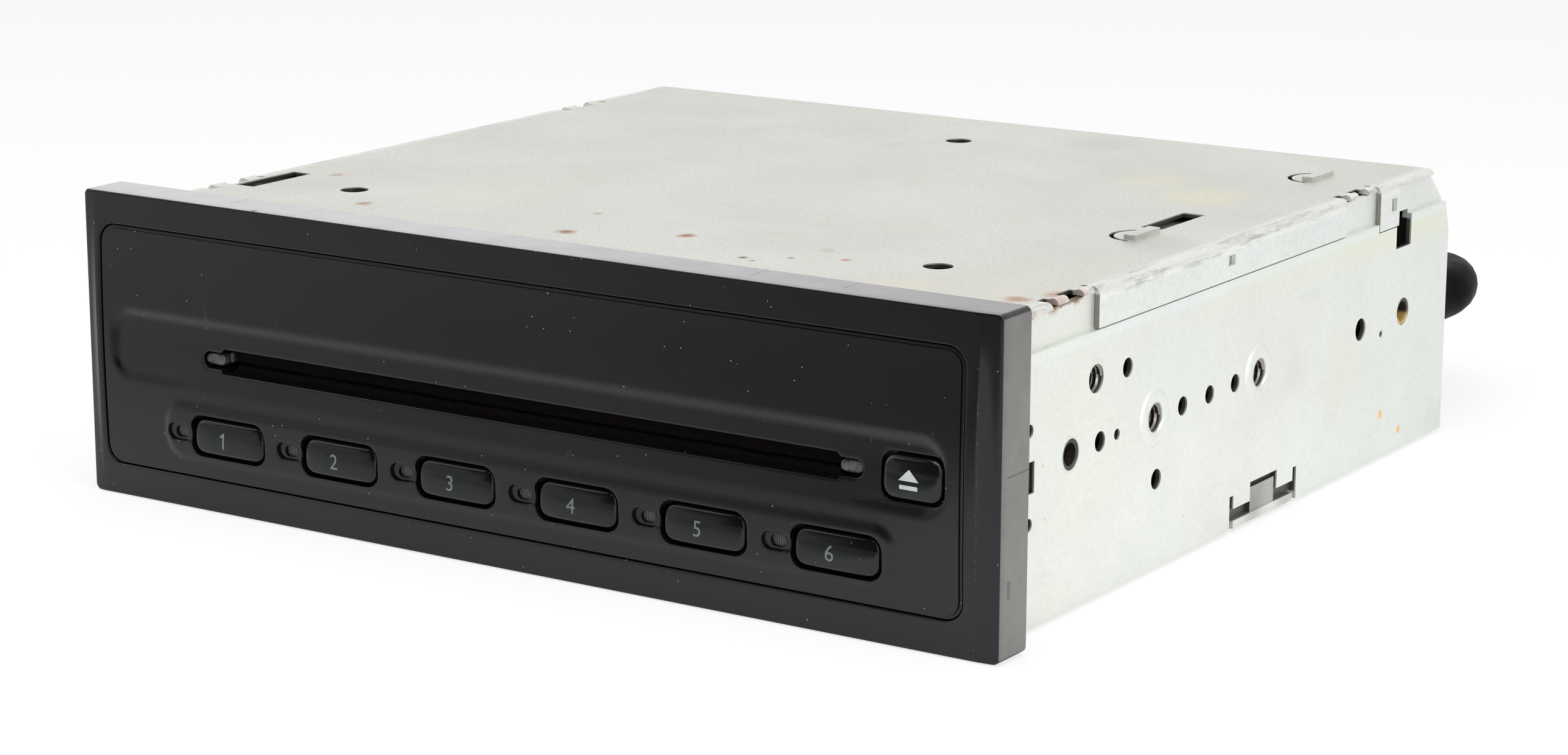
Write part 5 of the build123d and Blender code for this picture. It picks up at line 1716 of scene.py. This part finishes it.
@dataclass
class Studio:
    """Camera, lamps, floor, cards and world, in metres, degrees and, for the focal length, pixels."""

    azimuth: float = 33.49
    elevation: float = 13.32
    roll: float = 0.15
    distance: float = 0.58108
    focal: float = 6111.27
    target: Spot = (54.62, 0.0, FRONT.mid_z + 12.79)
    sensor: float = 36.0
    near_clip: float = 0.01
    floor_half: float = 4.0
    floor_drop: float = 0.0002
    floor_glow: float = 0.75
    fill: float = 0.5
    lamps: tuple[tuple[str, Spot, float, float], ...] = (
        ("lamp_top", (0.15, -0.25, 0.95), 0.9, 8.2),
        ("lamp_right", (0.95, -0.25, 0.45), 0.7, 4.0),
        ("lamp_left", (-0.8, -0.6, 0.5), 0.8, 2.5),
    )
    standing: tuple[Spot, ...] = (
        (-1.7, -0.35, 0.0), (0.6, -1.47, 0.0), (0.6, -1.47, 9.0), (-1.7, -0.35, 9.0)
    )
    lying: tuple[Spot, ...] = (
        (-1.75, -1.4, 0.0), (0.6, -1.4, 0.0), (0.6, -0.1, 0.0), (-1.75, -0.1, 0.0)
    )

    def camera(self) -> Object:
        """Puts the camera where the photograph was taken from.

        Returns:
            The camera.
        """
        angles = (self.azimuth, self.elevation, self.roll)
        azimuth, elevation, roll = (math.radians(angle) for angle in angles)
        level = math.cos(elevation)
        back = Vector((math.sin(azimuth) * level, -math.cos(azimuth) * level, math.sin(elevation)))
        right = (-back).cross(Vector((0.0, 0.0, 1.0))).normalized()
        up = right.cross(-back)
        turned_right = math.cos(roll) * right + math.sin(roll) * up
        turned_up = -math.sin(roll) * right + math.cos(roll) * up
        data = bpy.data.cameras.new("camera")
        data.sensor_width = self.sensor
        data.lens = self.focal * data.sensor_width / IMAGE_WIDTH
        data.clip_start = self.near_clip
        camera = link("camera", data)
        axes = Matrix((turned_right, turned_up, back)).transposed()
        camera.matrix_world = Matrix.Translation(place(*self.target) + back * self.distance) @ axes.to_4x4()
        bpy.context.scene.camera = camera
        return camera

    def floor(self) -> Object:
        """Lays a pale floor that keeps a faint shadow.

        Returns:
            The floor.
        """
        mesh = bmesh.new()
        bmesh.ops.create_grid(mesh, x_segments=12, y_segments=12, size=self.floor_half)
        data = bpy.data.meshes.new("floor")
        mesh.to_mesh(data)
        mesh.free()
        floor = link("floor", data)
        floor.location.z = -self.floor_drop
        g = Graph("pale_floor")
        data.materials.append(g.dress(Base_Color=(0.86, 0.86, 0.86), Roughness=0.9))
        glow = g.node("Emission", {"Color": (1.0, 1.0, 1.0), "Strength": 1.0})
        share = g.times(g.node("LightPath").outputs["Is Camera Ray"], self.floor_glow)
        blend = g.node("MixShader", {0: share, 1: g.shader.outputs[0], 2: glow.outputs[0]})
        output = next(node for node in g.tree.nodes if node.type == "OUTPUT_MATERIAL")
        g.plug(output.inputs["Surface"], blend.outputs[0])
        return floor

    def world(self) -> None:
        """Makes a white backdrop and soft even light."""
        world = bpy.data.worlds.new("studio")
        bpy.context.scene.world = world
        world.use_nodes = True
        nodes = Nodes(world.node_tree)
        nodes.tree.nodes.clear()
        rays = nodes.node("LightPath").outputs
        seen = nodes.node("Background", {"Color": (1.0, 1.0, 1.0), "Strength": 1.0})
        fill = nodes.node("Background", {"Color": (0.98, 0.99, 1.0), "Strength": self.fill})
        direct = nodes.math("MAXIMUM", rays["Is Camera Ray"], rays["Is Glossy Ray"])
        direct = nodes.math("MAXIMUM", direct, rays["Is Transmission Ray"])
        blend = nodes.node("MixShader", {0: direct, 1: fill.outputs[0], 2: seen.outputs[0]})
        nodes.node("OutputWorld", {"Surface": blend.outputs[0]})

    @staticmethod
    def card(name: str, corners: tuple[Spot, ...]) -> tuple[Object, Graph]:
        """Puts a dark card before the object that only its glossy faces see.

        Args:
            name: The card's name.
            corners: Its corners in metres.

        Returns:
            The card and its material's nodes.
        """
        data = bpy.data.meshes.new(name)
        data.from_pydata(corners, [], [(0, 1, 2, 3)])
        g = Graph(name)
        data.materials.append(g.dress(Base_Color=(0.01, 0.01, 0.01), Roughness=1.0, IOR=1.0))
        card = link(name, data)
        for sight in ("camera", "diffuse", "transmission", "volume_scatter", "shadow"):
            setattr(card, "visible_" + sight, False)
        return card, g

    def cards(self) -> list[Object]:
        """Puts up the standing card and the lying one, with their soft edges.

        Returns:
            Both cards.
        """
        standing, g = self.card("standing_card", self.standing)
        x = g.axis("X")
        rise = g.times(g.fade(g.axis("Z"), 0.02, 0.28, 0.3, 0.97), g.fade(x, -1.25, -0.95))
        g.dress(Alpha=g.math("MAXIMUM", rise, g.fade(x, -0.58, -0.42, 0.0, 0.97)))
        lying, g = self.card("lying_card", self.lying)
        x = g.axis("X")
        near = g.times(g.fade(g.axis("Y"), -0.1, -0.24, 0.12), g.fade(x, -0.3, 0.03, 0.27, 0.82))
        g.dress(Alpha=g.times(near, g.fade(x, 0.03, 0.046, 1.0, 0.1)))
        return [standing, lying]

    @staticmethod
    def lamp(name: str, spot: Spot, size: float, power: float) -> Object:
        """Adds a soft square lamp aimed at the object.

        Args:
            name: The lamp's name.
            spot: Its place in metres.
            size: Its side in metres.
            power: Its power in watts.

        Returns:
            The lamp.
        """
        data = bpy.data.lights.new(name, "AREA")
        data.shape = "SQUARE"
        data.size = size
        data.energy = power
        lamp = link(name, data)
        lamp.location = spot
        aim = Vector((0.0, 0.0, 0.03)) - Vector(spot)
        lamp.rotation_euler = aim.to_track_quat("-Z", "Y").to_euler()
        return lamp

    def build(self) -> list[Object]:
        """Makes the studio round the object."""
        self.world()
        return [self.camera(), self.floor(), *(self.lamp(*sizes) for sizes in self.lamps), *self.cards()]


def main() -> None:
    """Builds the scene and reports each piece."""
    logging.basicConfig(level=logging.INFO)
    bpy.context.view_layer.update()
    f = FRONT
    size = (f.button_width, f.button_height)
    numbered = [
        NumberButton(f"preset_button_{index + 1}", f.button_x(index), f.button_z, *size, digit=index + 1)
        for index in range(f.button_count)
    ]
    eject = EjectButton("eject_button", f.eject_x, f.mid_z, f.eject_width, f.eject_height)
    parts = [CadFinishes(), Harness(), BezelFace(), FrontPanel(), SlotLining(), *numbered, eject]
    for part in (*parts, SideDetails(), Studio()):
        for piece in part.build():
            LOG.info("%s: %s", type(part).__name__, piece.name)
    scene = bpy.context.scene
    scene.view_settings.view_transform = "Standard"


if __name__ == "__main__":
    main()
